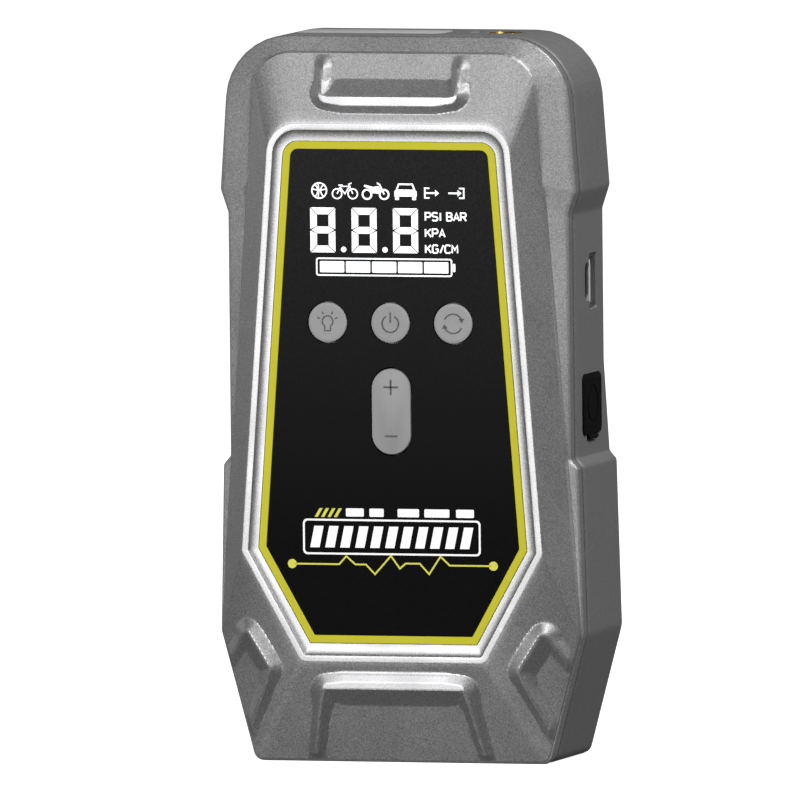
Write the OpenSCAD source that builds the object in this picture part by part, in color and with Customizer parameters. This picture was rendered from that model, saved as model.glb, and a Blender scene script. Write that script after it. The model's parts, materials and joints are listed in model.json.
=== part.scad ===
// Handheld jump starter pack with a built-in tyre pump, all sizes in millimetres.
// It stands upright: +Z up, the display faces -Y, the charging ports face +X.
// The origin is on the floor under the middle of the case.

/* [Case] */
// Height of the case
case_h = 196; // [180:1:210]
// Full depth at the lower bumper
case_d = 50.5; // [44:0.5:58]
// How much thinner the upper body is than the lower bumper
back_step = 4.7; // [0:0.1:8]
// Wall thickness of both shells
wall = 2.2; // [1.6:0.1:3]
// Radius of the large top corners
top_r = 18; // [10:0.5:24]
// Radius of the rounding along the back edge
back_r = 5; // [3:0.5:8]

/* [Front face] */
// Depth from the raised bezel to the foot of the sloping facets
facet_drop = 6; // [4:0.1:8]
// Depth from the raised bezel to the outer edge of the front shell
edge_drop = 8.6; // [7:0.1:11]
// Depth from the raised bezel to the joint between the shells
joint_drop = 14.8; // [12:0.1:18]
// Height of the raised ridges on the facets
ridge_h = 2; // [0.5:0.1:2.5]
// How far the window lies below the bezel
window_sink = 0.8; // [0.2:0.1:1.5]
// Width of the coloured frame round the window
accent_w = 2.2; // [1:0.1:3]

/* [Controls] */
// Radius of the three round buttons
button_r = 5.4; // [4:0.1:7]
// Distance between the round buttons
button_pitch = 17.6; // [15:0.1:20]
// Height of the button row above the floor
button_z = 119.2; // [110:0.1:130]
// Travel of a round button
button_travel = 0.6; // [0.3:0.05:1]
// Height of the middle of the adjusting rocker
rocker_z = 95.3; // [90:0.1:100]
// Length of the adjusting rocker
rocker_len = 23.2; // [18:0.1:26]

/* [Ports and lamp] */
// Height of the middle of the USB ports
usb_z = 129; // [120:0.5:140]
// Height of the middle of the jump lead socket
socket_z = 96; // [92:0.5:100]
// Distance of the air outlet from the middle of the case
outlet_x = 25; // [20:0.5:30]
// Width of the lamp lens
lamp_w = 41; // [30:1:46]
// Distance of the lamp from the middle of the case
lamp_x = -11.4; // [-16:0.1:-5]

/* [Pump] */
// Teeth on the motor pinion
pinion_teeth = 12; // [10:1:16]
// Teeth on the crank gear
gear_teeth = 36; // [30:1:40]
// Size of the gear teeth
gear_module = 0.8; // [0.6:0.05:1]
// Stroke of the pump piston
stroke = 10; // [6:1:12]
// Radius of the pump piston
piston_r = 8; // [6:0.5:9]

/* [Battery] */
// Radius of one battery cell
cell_r = 10.5; // [9:0.1:11]
// Length of one battery cell
cell_len = 70; // [65:1:70]
// Number of battery cells
cell_count = 3; // [3:1:3]

/* [Output] */
// Piece to show

/* [Hidden] */
$fn = 48;
front_y = -case_d / 2;
back_y = case_d / 2;
joint_y = front_y + joint_drop;
edge_y = front_y + edge_drop;
skirt_y = edge_y + 1.4;
upper_back_y = back_y - back_step;
window_y = front_y + window_sink;
window_t = 1.4;
ledge_y = window_y + window_t;
cavity_y = ledge_y + 1;
board_y = -16.5;
board_t = 1.6;
pump_y = 2.4;
crank_z = 126;
gear_x0 = -6;
gear_w = 4;
gear_gap = gear_module * (gear_teeth + pinion_teeth) / 2;
motor_z = crank_z - gear_gap;
plate_x0 = gear_x0 - 3;
plate_t = 2;
rod_x0 = 0;
rod_t = 4;
bore_x = rod_x0 + rod_t / 2;
shelf_z = 142;
shelf_t = 2.5;
barrel_z0 = shelf_z + shelf_t;
barrel_z1 = barrel_z0 + 21.5;
head_t = 6;
pin_z = crank_z + stroke / 2;
crown_z = barrel_z1 - 1;
hose_bend = 9;
hose_z = barrel_z1 + head_t / 2;
socket_y = 3.9;
side_x = 47.8;
cell_x = cell_len / 2;
cell_y = 8;
cell_pitch = 2 * cell_r + 1;
screw_spots = [[37.5, 178], [42.2, 79], [40.3, 14]];

// Half outline of the case from the floor to the top: width, height, corner radius, steps.
half_case = [
    [41.5, 0, 3, 3],
    [50.9, 35, 6, 2],
    [49.8, 80, 0, 0],
    [47.8, 82.3, 0, 0],
    [47.8, 107, 0, 0],
    [47.8, 148, 0, 0],
    [49.9, 154.3, 0, 0],
    [47, case_h, top_r, 7]
];
// Half outlines of the bezel and the window: width, height, corner radius, steps.
bezel_corners = [[25.8, 27.6, 2.5, 2], [42.2, 57.2, 2, 1], [33.6, 172.8, 8.5, 5]];
window_corners = [[23.4, 32.6, 0.3, 1], [37.7, 58.1, 0.3, 1], [29.6, 168.1, 4.4, 4]];
// Half outline of the foot of the facets: width, height, depth below the bezel.
half_foot = [
    [40.8, 0.8, 8.3], [50.2, 35, 7.4], [39.5, 180.8, facet_drop],
    [38, 186.2, facet_drop], [34, 190, facet_drop], [28.8, 191.4, facet_drop]
];

// ---------- outline helpers ----------

function unit(v) = v / norm(v);
function left_of(v) = [-v[1], v[0]];
function flipped(half) = [for (i = [len(half) - 1:-1:0]) [-half[i][0], half[i][1]]];
function closed(half) = concat([for (p = half) [p[0], p[1]]], flipped(half));
function step_dir(pts, i) = unit(pts[(i + 1) % len(pts)] - pts[i]);
function corner_shift(a, b) = (left_of(a) + left_of(b)) / (1 + a * b);
// Points of a closed outline moved inwards by d.
function inset(pts, d) = [
    for (i = [0:len(pts) - 1])
        pts[i] + d * corner_shift(step_dir(pts, (i + len(pts) - 1) % len(pts)), step_dir(pts, i))
];
function turn(a, b) = atan2(a[0] * b[1] - a[1] * b[0], a * b);
function spin(v, a) = [v[0] * cos(a) - v[1] * sin(a), v[0] * sin(a) + v[1] * cos(a)];
// One corner replaced by an arc of the given radius.
function arc(p, a, b, r, steps) =
    let (t = turn(a, b), side = sign(t), start = p - a * r * tan(abs(t) / 2), c = start + left_of(a) * side * r)
    steps == 0 ? [p] : [for (k = [0:steps]) c + spin(start - c, t * k / steps)];
function fitted_r(r, d, t) = r == 0 ? 0 : (t > 0 ? max(r - d, 0.3) : r + max(d, 0));
// Right half of an outline of [width, height, radius, steps] corners, moved inwards by d and rounded.
function rounded_half(corners, d) =
    let (pts = inset(closed(corners), d), n = len(pts))
    [
        for (i = [0:len(corners) - 1])
            let (a = step_dir(pts, (i + n - 1) % n), b = step_dir(pts, i))
            for (q = arc(pts[i], a, b, fitted_r(corners[i][2], d, turn(a, b)), corners[i][3])) q
    ];
function case_half(d) = rounded_half(half_case, d);
// The back swells over the lower bumper.
function swell(z) = back_step * max(0, min(1, (107 - z) / 24));

// ---------- solid helpers ----------

// Solid through a list of rings [inset, y, share of the back swell], front to back.
module case_loft(rings) {
    halves = [for (r = rings) case_half(r[0])];
    m = len(halves[0]);
    n = 2 * m;
    points = [
        for (k = [0:len(rings) - 1])
            for (i = [0:n - 1])
                let (p = i < m ? halves[k][i] : halves[k][n - 1 - i], s = i < m ? 1 : -1)
                [s * p[0], rings[k][1] + rings[k][2] * swell(p[1]), p[1]]
    ];
    last = (len(rings) - 1) * n;
    sides = [
        for (k = [0:len(rings) - 2])
            for (i = [0:n - 1])
                [k * n + i, k * n + (i + 1) % n, (k + 1) * n + (i + 1) % n, (k + 1) * n + i]
    ];
    front = [for (i = [0:m - 2]) [i, n - 1 - i, n - 2 - i, i + 1]];
    back = [for (f = front) [last + f[3], last + f[2], last + f[1], last + f[0]]];
    polyhedron(points, concat(sides, front, back));
}

// Flat outline in the X-Z plane given thickness from y0 to y1.
module slab_y(y0, y1) {
    translate([0, y1, 0]) rotate([90, 0, 0]) linear_extrude(y1 - y0) children();
}

// Flat outline in the X-Y plane given thickness from z0 to z1.
module slab_z(z0, z1) {
    translate([0, 0, z0]) linear_extrude(z1 - z0) children();
}

// Flat outline (Y, Z) given thickness from x0 to x1.
module slab_x(x0, x1) {
    translate([x0, 0, 0]) rotate([90, 0, 90]) linear_extrude(x1 - x0) children();
}

module rod_x(x0, x1, r) {
    translate([x0, 0, 0]) rotate([0, 90, 0]) cylinder(h = x1 - x0, r = r);
}

module rod_y(y0, y1, r) {
    translate([0, y0, 0]) rotate([-90, 0, 0]) cylinder(h = y1 - y0, r = r);
}

module rounded_rect(w, h, r) {
    square([w - 2 * r, h], center = true);
    square([w, h - 2 * r], center = true);
    for (x = [-1, 1], y = [-1, 1]) {
        translate([x * (w / 2 - r), y * (h / 2 - r)]) circle(r);
    }
}

module pill(w, h) {
    square([w, h - w], center = true);
    for (s = [-1, 1]) {
        translate([0, s * (h - w) / 2]) circle(w / 2);
    }
}

module window_outline(d) {
    polygon(closed(rounded_half(window_corners, d)));
}

// Corner points of the foot outline, moved inwards by shrink and back by sink.
function foot_points(shrink, sink) =
    let (moved = inset(closed(half_foot), shrink), n = len(half_foot))
    [
        for (i = [0:2 * n - 1])
            [moved[i][0], front_y + half_foot[i < n ? i : 2 * n - 1 - i][2] + sink, moved[i][1]]
    ];
// Corner points of the bezel outline, moved inwards by shrink and back by sink.
function bezel_points(shrink, sink) =
    [for (p = closed(rounded_half(bezel_corners, shrink))) [p[0], front_y + sink, p[1]]];

// The raised middle of the front face, from the bezel down to the foot of the facets.
module facet_block(shrink, sink) {
    points = concat(
        bezel_points(shrink * 0.6, sink),
        foot_points(shrink, sink),
        foot_points(shrink - 0.62, sink + 2),
        foot_points(shrink + 2, 6)
    );
    hull() polyhedron(points, [[for (i = [0:len(points) - 1]) i]]);
}

// Ridge with sloping sides along a path of [x, y, half width] points on a facet.
module ridge(path, lift) {
    n = len(path);
    dirs = [for (i = [0:n - 2]) unit([path[i + 1][0] - path[i][0], path[i + 1][1] - path[i][1]])];
    shift = [for (i = [0:n - 1]) corner_shift(dirs[max(i - 1, 0)], dirs[min(i, n - 2)])];
    points = [
        for (i = [0:n - 1])
            for (c = [[1, -1.5], [0.22, lift], [-0.22, lift], [-1, -1.5]])
                let (w = path[i][2] * c[0])
                [path[i][0] + shift[i][0] * w, path[i][1] + shift[i][1] * w, c[1]]
    ];
    sides = [
        for (i = [0:n - 2])
            for (c = [0:3])
                [4 * i + c, 4 * i + 4 + c, 4 * i + 4 + (c + 1) % 4, 4 * i + (c + 1) % 4]
    ];
    ends = [[0, 1, 2, 3], [4 * n - 1, 4 * n - 2, 4 * n - 3, 4 * n - 4]];
    polyhedron(points, concat(sides, ends));
}

// The next three place a flat drawing on a facet: x along the bezel edge, z out of the facet.
module on_top_facet() {
    tilt = atan(facet_drop / 18.7);
    translate([0, front_y, 172.7]) rotate([90 - tilt, 0, 0]) children();
}

module on_bottom_facet() {
    tilt = atan(8.3 / 26.8);
    translate([0, front_y, 27.6]) rotate([90 + tilt, 0, 0]) children();
}

module on_corner_facet() {
    a = [25.8, 0, 27.6];
    u = unit([42.2, 0, 57.2] - a);
    w = unit([50.2, 7.4, 35] - a);
    out = unit(cross(w, u));
    v = cross(out, u);
    translate([0, front_y, 0])
        multmatrix([
            [u[0], v[0], out[0], a[0]],
            [u[1], v[1], out[1], a[1]],
            [u[2], v[2], out[2], a[2]],
            [0, 0, 0, 1]
        ]) children();
}

// Screw posts at the case screw spots, from y0 to y1.
module at_screws() {
    for (s = [-1, 1], p = screw_spots) {
        translate([s * p[0], 0, p[1]]) children();
    }
}

// ---------- case ----------

module front_ridges() {
    on_top_facet() {
        ridge([[-19.3, 18.6, 2.4], [-19, 11, 2.8], [-15.6, 7.4, 4.4], [15.6, 7.4, 4.4], [19, 11, 2.8], [19.3, 18.6, 2.4]],
            ridge_h);
    }
    on_bottom_facet() {
        ridge([[23.6, -26.6, 2.4], [20, -12, 2.8], [16.4, -7.7, 4.8], [-16.4, -7.7, 4.8], [-20, -12, 2.8], [-23.6, -26.6, 2.4]],
            ridge_h);
    }
    for (s = [0, 1]) mirror([s, 0, 0]) {
        on_corner_facet() {
            ridge([[-7.4, -24.5, 2], [1.6, -9.4, 2.4], [4, -7.6, 2.8], [16.6, -7, 2.8], [18.6, -8.6, 2.4], [12.7, -19.8, 2]],
                ridge_h);
        }
    }
}

module front_shell() {
    color("dimgray") difference() {
        union() {
            case_loft([[9, edge_y - 2.5, 0], [0.5, edge_y, 0], [0, skirt_y, 0], [0.7, joint_y - 0.02, 0]]);
            facet_block(0, 0);
            intersection() {
                front_ridges();
                slab_y(front_y - 3, joint_y - 5) polygon(inset(closed(half_case), 0.6));
            }
        }
        difference() {
            union() {
                case_loft([[11, edge_y + 0.4, 0], [wall + 0.5, edge_y + wall, 0], [wall + 0.5, joint_y + 1, 0]]);
                facet_block(2.2, 2.6);
            }
            slab_y(front_y - 1, cavity_y) square([200, 500], center = true);
            at_screws() rod_y(front_y, joint_y + 2, 3.4, $fn = 12);
        }
        hull() {
            slab_y(front_y - 0.01, front_y) polygon(closed(rounded_half(bezel_corners, 1.8)));
            slab_y(window_y - 0.01, window_y) window_outline(-0.3);
        }
        slab_y(window_y - 0.1, ledge_y) window_outline(-0.05);
        slab_y(ledge_y - 1, cavity_y + 1) window_outline(3);
        at_screws() rod_y(joint_y - 4, joint_y + 1, 1.3);
    }
}

module rear_shell() {
    color("slategray") difference() {
        union() {
            difference() {
                case_loft(concat(
                    [[0.5, joint_y, 0], [0, joint_y + 0.7, 0]],
                    [for (a = [0:22.5:90]) [back_r * (1 - cos(a)), upper_back_y - back_r * (1 - sin(a)), 1]]
                ));
                case_loft(concat(
                    [[wall, joint_y - 1, 0]],
                    [for (a = [0:45:90]) [wall + 3 * (1 - cos(a)), upper_back_y - wall - 3 * (1 - sin(a)), 1]]
                ));
            }
            intersection() {
                union() {
                    at_screws() rod_y(joint_y, back_y, 4.4);
                    lamp_well(1.6, 0.1);
                }
                case_loft([[1, joint_y, 0], [1, upper_back_y - 1, 1]]);
            }
        }
        at_screws() rod_y(joint_y - 1, back_y + 1, 1.7);
        at_screws() rod_y(upper_back_y - 9, back_y + 1, 3.1);
        lamp_well(0.05, 20);
        translate([outlet_x, pump_y, case_h - 5]) cylinder(h = 10, r = 4.75);
        translate([16.6, pump_y, case_h - 5]) cylinder(h = 10, r = 1.25);
        usb_cuts();
        socket_cuts();
        vent_slots();
    }
}

// Block of space the lamp stands in, grown by g.
module lamp_well(g, up) {
    translate([lamp_x, pump_y, 0])
        slab_z(case_h - wall - 2, case_h + up) rounded_rect(lamp_w + 2 * g, 15 + 2 * g, 3 + g);
}

module usb_cuts() {
    translate([0, 6.4, usb_z]) slab_x(side_x - 5, side_x + 3) square([6.5, 14.4], center = true);
    translate([0, 0.9, usb_z]) slab_x(side_x - 5, side_x + 3) pill(3.6, 9.8);
}

module socket_cuts() {
    translate([0, socket_y, socket_z]) {
        slab_x(side_x - 1, side_x + 3) rounded_rect(17.9, 16.7, 2);
        slab_x(side_x - 5, side_x + 3) rounded_rect(15.4, 12.2, 1);
    }
    translate([0, socket_y, socket_z - 8.7]) slab_x(side_x - 1, side_x + 3) square([9.6, 2.6], center = true);
}

module vent_slots() {
    for (i = [-3:3]) {
        translate([i * 6, 0, 132]) slab_y(upper_back_y - 4, back_y + 1) pill(2.4, 20);
    }
}

module case_screws() {
    color("silver") at_screws() {
        rod_y(joint_y - 3.8, upper_back_y - 9, 1.28);
        difference() {
            rod_y(upper_back_y - 9, upper_back_y - 7, 2.7);
            rod_y(upper_back_y - 7.9, upper_back_y - 6, 1.1);
        }
    }
}

// ---------- window and display ----------

module accent_frame() {
    color("gold") difference() {
        slab_y(window_y - 0.1, ledge_y) window_outline(0);
        slab_y(window_y - 1, ledge_y + 1) window_outline(accent_w);
    }
}

module display_window() {
    color("black") difference() {
        slab_y(window_y, ledge_y) window_outline(accent_w + 0.04);
        for (i = [-1:1]) {
            translate([i * button_pitch, 0, button_z]) rod_y(window_y - 1, ledge_y + 1, button_r + 0.25);
        }
        translate([0, 0, rocker_z]) slab_y(window_y - 1, ledge_y + 1) pill(11.4, rocker_len + 0.7);
    }
}

// One flat bar of a seven-segment figure, pointed at both ends.
module segment(length) {
    half = length / 2;
    polygon([[-half, 0], [-half + 0.6, 0.6], [half - 0.6, 0.6], [half, 0], [half - 0.6, -0.6], [-half + 0.6, -0.6]]);
}

module figure() {
    for (z = [-5.3, 0, 5.3]) {
        translate([0, z]) segment(5.2);
    }
    for (x = [-2.85, 2.85], z = [-2.65, 2.65]) {
        translate([x, z]) rotate(90) segment(4.7);
    }
}

module print_layer() {
    slab_y(window_y - 0.1, window_y) children();
}

module display_figures() {
    color("white") print_layer() {
        for (x = [-18.7, -7.1, 4.5]) {
            translate([x, 144.1]) figure();
        }
        for (x = [-12.9, -1.3]) {
            translate([x, 138.9]) circle(0.72);
        }
    }
}

module charge_gauge() {
    color("white") print_layer() translate([-1.4, 134.2]) {
        difference() {
            rounded_rect(39.6, 4.9, 0.8);
            rounded_rect(38.7, 4, 0.5);
        }
        translate([20.2, 0]) square([0.7, 2], center = true);
        for (i = [-2:2]) {
            translate([i * 7.5, 0]) square([6.8, 2.9], center = true);
        }
    }
}

module ring_mark(r, w) {
    difference() {
        circle(r);
        circle(r - w);
    }
}

module display_marks() {
    color("white") print_layer() {
        translate([-19.7, 154.7]) ring_mark(2.3, 0.45);
        for (x = [-14.4, -10.4, -6.2, -1.5]) {
            translate([x, 154]) ring_mark(1.6, 0.4);
        }
        translate([4.6, 154.4]) rounded_rect(6, 2.6, 0.8);
        translate([4.6, 156.3]) square([3.4, 0.6], center = true);
        for (p = [[12.2, 154.3, 5.4], [19, 154.3, 3.6], [12.6, 148, 5], [18.9, 148, 5], [12.7, 143.6, 5.2], [15.4, 139.6, 10.6]]) {
            translate([p[0], p[1]]) square([p[2], 1.2], center = true);
        }
    }
}

module window_trim() {
    color("gold") print_layer() {
        translate([0, 54]) square([55, 0.5], center = true);
        for (s = [-1, 1]) {
            translate([s * 28.3, 54]) circle(1.3);
        }
        for (i = [0:3]) {
            translate([-20.4 + i * 1.8, 67.9]) polygon([[-1.2, -1.2], [0, -1.2], [1.2, 1.2], [0, 1.2]]);
        }
    }
}

module window_badge() {
    color("white") print_layer() translate([0, 61.4]) {
        difference() {
            rounded_rect(49.9, 9.6, 1.2);
            rounded_rect(48.9, 8.6, 0.8);
        }
        for (i = [-3:3]) {
            translate([i * 6.2, 0]) square([4.2, 5], center = true);
        }
    }
}

module display_module() {
    color("darkslategray") slab_y(ledge_y + 0.4, board_y) translate([-0.5, 148]) square([47, 30], center = true);
}

module main_board() {
    color("green") difference() {
        slab_y(board_y, board_y + board_t) polygon([[-27, 74], [27, 74], [25, 168], [-25, 168]]);
        for (x = [-22, 22], z = [79, 128]) {
            translate([x, 0, z]) rod_y(board_y - 1, board_y + 3, 1.6);
        }
    }
}

module board_screws() {
    color("silver") for (x = [-22, 22], z = [79, 128]) {
        translate([x, 0, z]) {
            rod_y(board_y - 4, board_y + board_t, 1.4);
            rod_y(board_y + board_t, board_y + board_t + 1.2, 2.4);
        }
    }
}

module board_chips() {
    color("black") {
        translate([-12, board_y + board_t + 0.7, 92]) cube([9, 1.4, 9], center = true);
        for (x = [-16, 14]) {
            translate([x, board_y + board_t + 0.6, 154]) cube([5, 1.2, 6], center = true);
        }
    }
}

module tact_switches() {
    spots = [[-button_pitch, button_z], [0, button_z], [button_pitch, button_z], [0, rocker_z + 7.4], [0, rocker_z - 7.4]];
    color("gray") for (p = spots) {
        translate([p[0], 0, p[1]]) {
            translate([0, board_y - 1.25, 0]) cube([5.6, 2.5, 5.6], center = true);
            rod_y(board_y - 3.1, board_y - 2.5, 1.4);
        }
    }
}

// ---------- buttons ----------

// Round key: shallow dished cap, retaining flange and plunger, with a raised mark on it.
module round_key() {
    difference() {
        rod_y(window_y - 0.25, ledge_y + 0.1, button_r);
        translate([0, window_y - 60.1, 0]) sphere(r = 60, $fn = 96);
    }
    rod_y(ledge_y + 0.1, ledge_y + 0.9, button_r + 1);
    rod_y(ledge_y + 0.9, board_y - 3.1 - button_travel - 0.06, 1.8);
}

module key_mark() {
    slab_y(window_y - 0.3, window_y) children();
}

module light_button() {
    color("darkgray") translate([-button_pitch, 0, button_z]) {
        round_key();
        key_mark() {
            translate([0, 0.5]) ring_mark(1.7, 0.35);
            translate([0, -1.9]) square([1.6, 0.9], center = true);
        }
    }
}

module power_button() {
    color("darkgray") translate([0, 0, button_z]) {
        round_key();
        key_mark() {
            difference() {
                ring_mark(2.6, 0.4);
                translate([0, 2.4]) square([1.8, 2], center = true);
            }
            translate([0, 1.9]) square([0.4, 2.6], center = true);
        }
    }
}

module mode_button() {
    color("darkgray") translate([button_pitch, 0, button_z]) {
        round_key();
        key_mark() difference() {
            ring_mark(2.7, 0.4);
            square([1.4, 8], center = true);
        }
    }
}

module adjust_rocker() {
    pivot_y = ledge_y + 2.4;
    color("darkgray") translate([0, 0, rocker_z]) difference() {
        union() {
            slab_y(window_y - 0.25, ledge_y + 0.6) pill(11, rocker_len);
            translate([0, pivot_y - 0.6, 0]) cube([8, 3.4, 5], center = true);
            for (s = [-1, 1]) {
                translate([0, 0, s * 7.4]) rod_y(ledge_y + 0.6, board_y - 3.7, 1.8);
            }
            slab_y(window_y - 0.45, window_y) {
                translate([0, 6.6]) square([3.6, 0.5], center = true);
                translate([0, 6.6]) square([0.5, 3.6], center = true);
                translate([0, -6.6]) square([3.6, 0.5], center = true);
            }
        }
        translate([0, pivot_y, 0]) rod_x(-6, 6, 0.85);
    }
}

module rocker_pin() {
    color("silver") translate([0, ledge_y + 2.4, rocker_z]) rod_x(-7, 7, 0.8);
}

module rocker_yoke() {
    color("dimgray") for (s = [-1, 1]) {
        difference() {
            translate([s * 5.6, (ledge_y + 1.2 + board_y) / 2, rocker_z])
                cube([2.4, board_y - ledge_y - 1.2, 4], center = true);
            translate([0, ledge_y + 2.4, rocker_z]) rod_x(-8, 8, 0.8);
        }
    }
}

// ---------- lamp, outlet and ports ----------

module lamp_lens() {
    color("white") translate([lamp_x, pump_y, 0])
        slab_z(case_h - 2, case_h) rounded_rect(lamp_w, 15, 3);
}

module lamp_reflector() {
    color("silver") difference() {
        translate([lamp_x, pump_y, 0]) slab_z(case_h - 11, case_h - 2) rounded_rect(lamp_w - 1, 14, 3);
        for (i = [-1:1]) {
            translate([lamp_x + i * 13, pump_y, case_h - 12]) cylinder(h = 11, r1 = 2.6, r2 = 6.2);
        }
    }
}

module lamp_board() {
    color("green") translate([lamp_x, pump_y, 0]) slab_z(case_h - 12.6, case_h - 11) rounded_rect(lamp_w - 1, 14, 2);
}

module lamp_leds() {
    color("lightyellow") for (i = [-1:1]) {
        translate([lamp_x + i * 13, pump_y, case_h - 11]) {
            translate([0, 0, 0.35]) cube([3, 3, 0.7], center = true);
            translate([0, 0, 0.7]) cylinder(h = 0.5, r = 1.1);
        }
    }
}

module status_light() {
    color("lightcyan") translate([16.6, pump_y, case_h - 9]) {
        cylinder(h = 9, r = 1.2);
        cylinder(h = 3, r = 2);
    }
}

module air_outlet() {
    color("goldenrod") translate([outlet_x, pump_y, 0]) difference() {
        union() {
            translate([0, 0, case_h - 8]) cylinder(h = 8, r = 4.7);
            translate([0, 0, case_h - 9.5]) cylinder(h = 1.6, r = 5.8);
            translate([0, 0, hose_z + hose_bend]) cylinder(h = case_h - 9 - hose_z - hose_bend, r = 1.9);
        }
        translate([0, 0, case_h - 7]) cylinder(h = 8, r = 3);
        translate([0, 0, hose_z + hose_bend - 1]) cylinder(h = 30, r = 1);
    }
}

module outlet_hose() {
    color("black") translate([0, pump_y, 0]) {
        difference() {
            translate([outlet_x - hose_bend, 0, hose_z + hose_bend]) rotate([90, 0, 0])
                rotate([0, 0, -90]) rotate_extrude(angle = 90) translate([hose_bend, 0]) circle(3);
            translate([outlet_x - hose_bend, 0, hose_z + hose_bend]) rotate([90, 0, 0])
                rotate([0, 0, -90]) rotate_extrude(angle = 90) translate([hose_bend, 0]) circle(1.9);
        }
        difference() {
            translate([outlet_x, 0, hose_z + hose_bend]) cylinder(h = 6, r = 3);
            translate([outlet_x, 0, hose_z + hose_bend - 1]) cylinder(h = 8, r = 1.9);
        }
    }
}

module usb_a_shell() {
    color("silver") translate([0, 6.4, usb_z]) difference() {
        slab_x(34, side_x - 0.6) square([6.2, 14.1], center = true);
        slab_x(35, side_x) square([5.4, 13.3], center = true);
    }
}

module usb_a_tongue() {
    color("white") translate([0, 5.2, usb_z]) slab_x(35, side_x - 1.4) square([1.9, 10.6], center = true);
}

module usb_c_shell() {
    color("silver") translate([0, 0.9, usb_z]) difference() {
        slab_x(36, side_x - 0.6) pill(3.3, 9.4);
        slab_x(36.8, side_x) pill(2.6, 8.7);
    }
}

module usb_c_tongue() {
    color("black") translate([0, 0.9, usb_z]) slab_x(36.8, side_x - 1.6) square([0.7, 6.6], center = true);
}

module port_board() {
    color("green") translate([0, 4, usb_z]) {
        slab_x(32.4, 34) square([18, 24], center = true);
        translate([0, -3.1, 0]) slab_x(34, 36) square([2.6, 6], center = true);
    }
}

module jump_socket() {
    color("royalblue") translate([0, socket_y, socket_z]) difference() {
        slab_x(30, side_x - 1.3) rounded_rect(15, 11.8, 1);
        for (s = [-1, 1]) {
            translate([0, s * 3.7, 0]) rod_x(29, side_x, 3.1);
        }
    }
}

module jump_contacts() {
    color("goldenrod") translate([0, socket_y, socket_z]) for (s = [-1, 1]) {
        translate([0, s * 3.7, 0]) difference() {
            rod_x(27, side_x - 2.3, 3.1);
            rod_x(32, side_x, 2.5);
        }
    }
}

module port_cover() {
    hinge_z = socket_z - 8.9;
    color("black") translate([0, socket_y, 0]) {
        difference() {
            translate([0, 0, socket_z]) slab_x(side_x - 0.85, side_x + 0.45) rounded_rect(17.4, 16.1, 1.8);
            translate([0, 0, socket_z]) difference() {
                rod_x(side_x + 0.25, side_x + 1, 5);
                rod_x(side_x, side_x + 1, 4.4);
            }
            translate([0, 0, socket_z - 8.05]) slab_x(side_x - 2, side_x + 2) square([8.6, 0.5], center = true);
        }
        translate([side_x + 0.2, -4, hinge_z + 0.05]) rotate([-90, 0, 0]) cylinder(h = 8, r = 0.65);
        translate([side_x + 0.05, 0, hinge_z + 0.8]) cube([0.8, 8, 1.3], center = true);
    }
}

// ---------- battery ----------

module at_cells() {
    for (i = [0:cell_count - 1]) {
        translate([0, cell_y, 19 + i * cell_pitch]) children();
    }
}

module battery_cells() {
    color("teal") at_cells() {
        rod_x(-cell_x, cell_x - 1, cell_r);
        rod_x(cell_x - 1, cell_x, 3.4);
    }
}

module cell_holders() {
    color("black") for (s = [-1, 1]) {
        difference() {
            translate([s * 26, cell_y, 19 + cell_pitch]) cube([6, 26, 3 * cell_pitch + 1.2], center = true);
            at_cells() rod_x(-40, 40, cell_r + 0.05);
        }
    }
}

module busbars() {
    color("silver") {
        for (i = [0, 1]) {
            translate([(i == 0 ? 1 : -1) * (cell_x + 0.25), cell_y, 19 + (i + 0.5) * cell_pitch])
                cube([0.5, 8, cell_pitch + 7], center = true);
        }
        translate([-cell_x - 0.25, cell_y, 19]) cube([0.5, 8, 8], center = true);
        translate([cell_x + 0.25, cell_y, 19 + 2 * cell_pitch]) cube([0.5, 8, 8], center = true);
    }
}

module power_board() {
    color("green") translate([0, -8.2, 42]) cube([60, 1.6, 50], center = true);
}

module power_switches() {
    color("black") for (i = [0:3]) {
        translate([-21 + i * 14, -10, 54]) cube([9, 2, 10], center = true);
    }
}

module power_coil() {
    color("peru") translate([14, 0, 30]) difference() {
        rod_y(-14.5, -9, 7);
        rod_y(-15, -8.9, 3);
    }
}

// ---------- pump ----------

function tooth_half(teeth, r) =
    let (rp = gear_module * teeth / 2, rb = rp * cos(20), q = max(r, rb), a = acos(rb / q))
    90 / teeth - (0.1 / rp) * 180 / PI / 2 + (tan(20) * 180 / PI - 20) - (tan(a) * 180 / PI - a);

// Toothed wheel outline with involute flanks; the first tooth points along +X.
module toothed(teeth) {
    rp = gear_module * teeth / 2;
    root = rp - 1.2 * gear_module;
    radii = [for (k = [0:4]) let (low = max(root + 0.05, rp * cos(20))) low + (rp + gear_module - low) * k / 4];
    polygon([
        for (i = [0:teeth - 1])
            let (c = i * 360 / teeth)
            for (p = concat(
                [[root, -180 / teeth + (180 / teeth - tooth_half(teeth, radii[0])) * 0.4], [root, -tooth_half(teeth, radii[0])]],
                [for (r = radii) [r, -tooth_half(teeth, r)]],
                [for (k = [4:-1:0]) [radii[k], tooth_half(teeth, radii[k])]],
                [[root, tooth_half(teeth, radii[0])]]
            ))
                p[0] * [cos(c + p[1]), sin(c + p[1])]
    ]);
}

module crank_gear() {
    color("ivory") translate([0, pump_y, crank_z]) difference() {
        slab_x(gear_x0, gear_x0 + gear_w) rotate(90 + 180 / gear_teeth) toothed(gear_teeth);
        rod_x(gear_x0 - 1, gear_x0 + gear_w + 1, 2);
    }
}

module crank_shaft() {
    color("silver") translate([0, pump_y, crank_z]) {
        rod_x(plate_x0 - 2, gear_x0 + gear_w, 2);
        rod_x(gear_x0 - 0.8, gear_x0, 3);
    }
}

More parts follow.
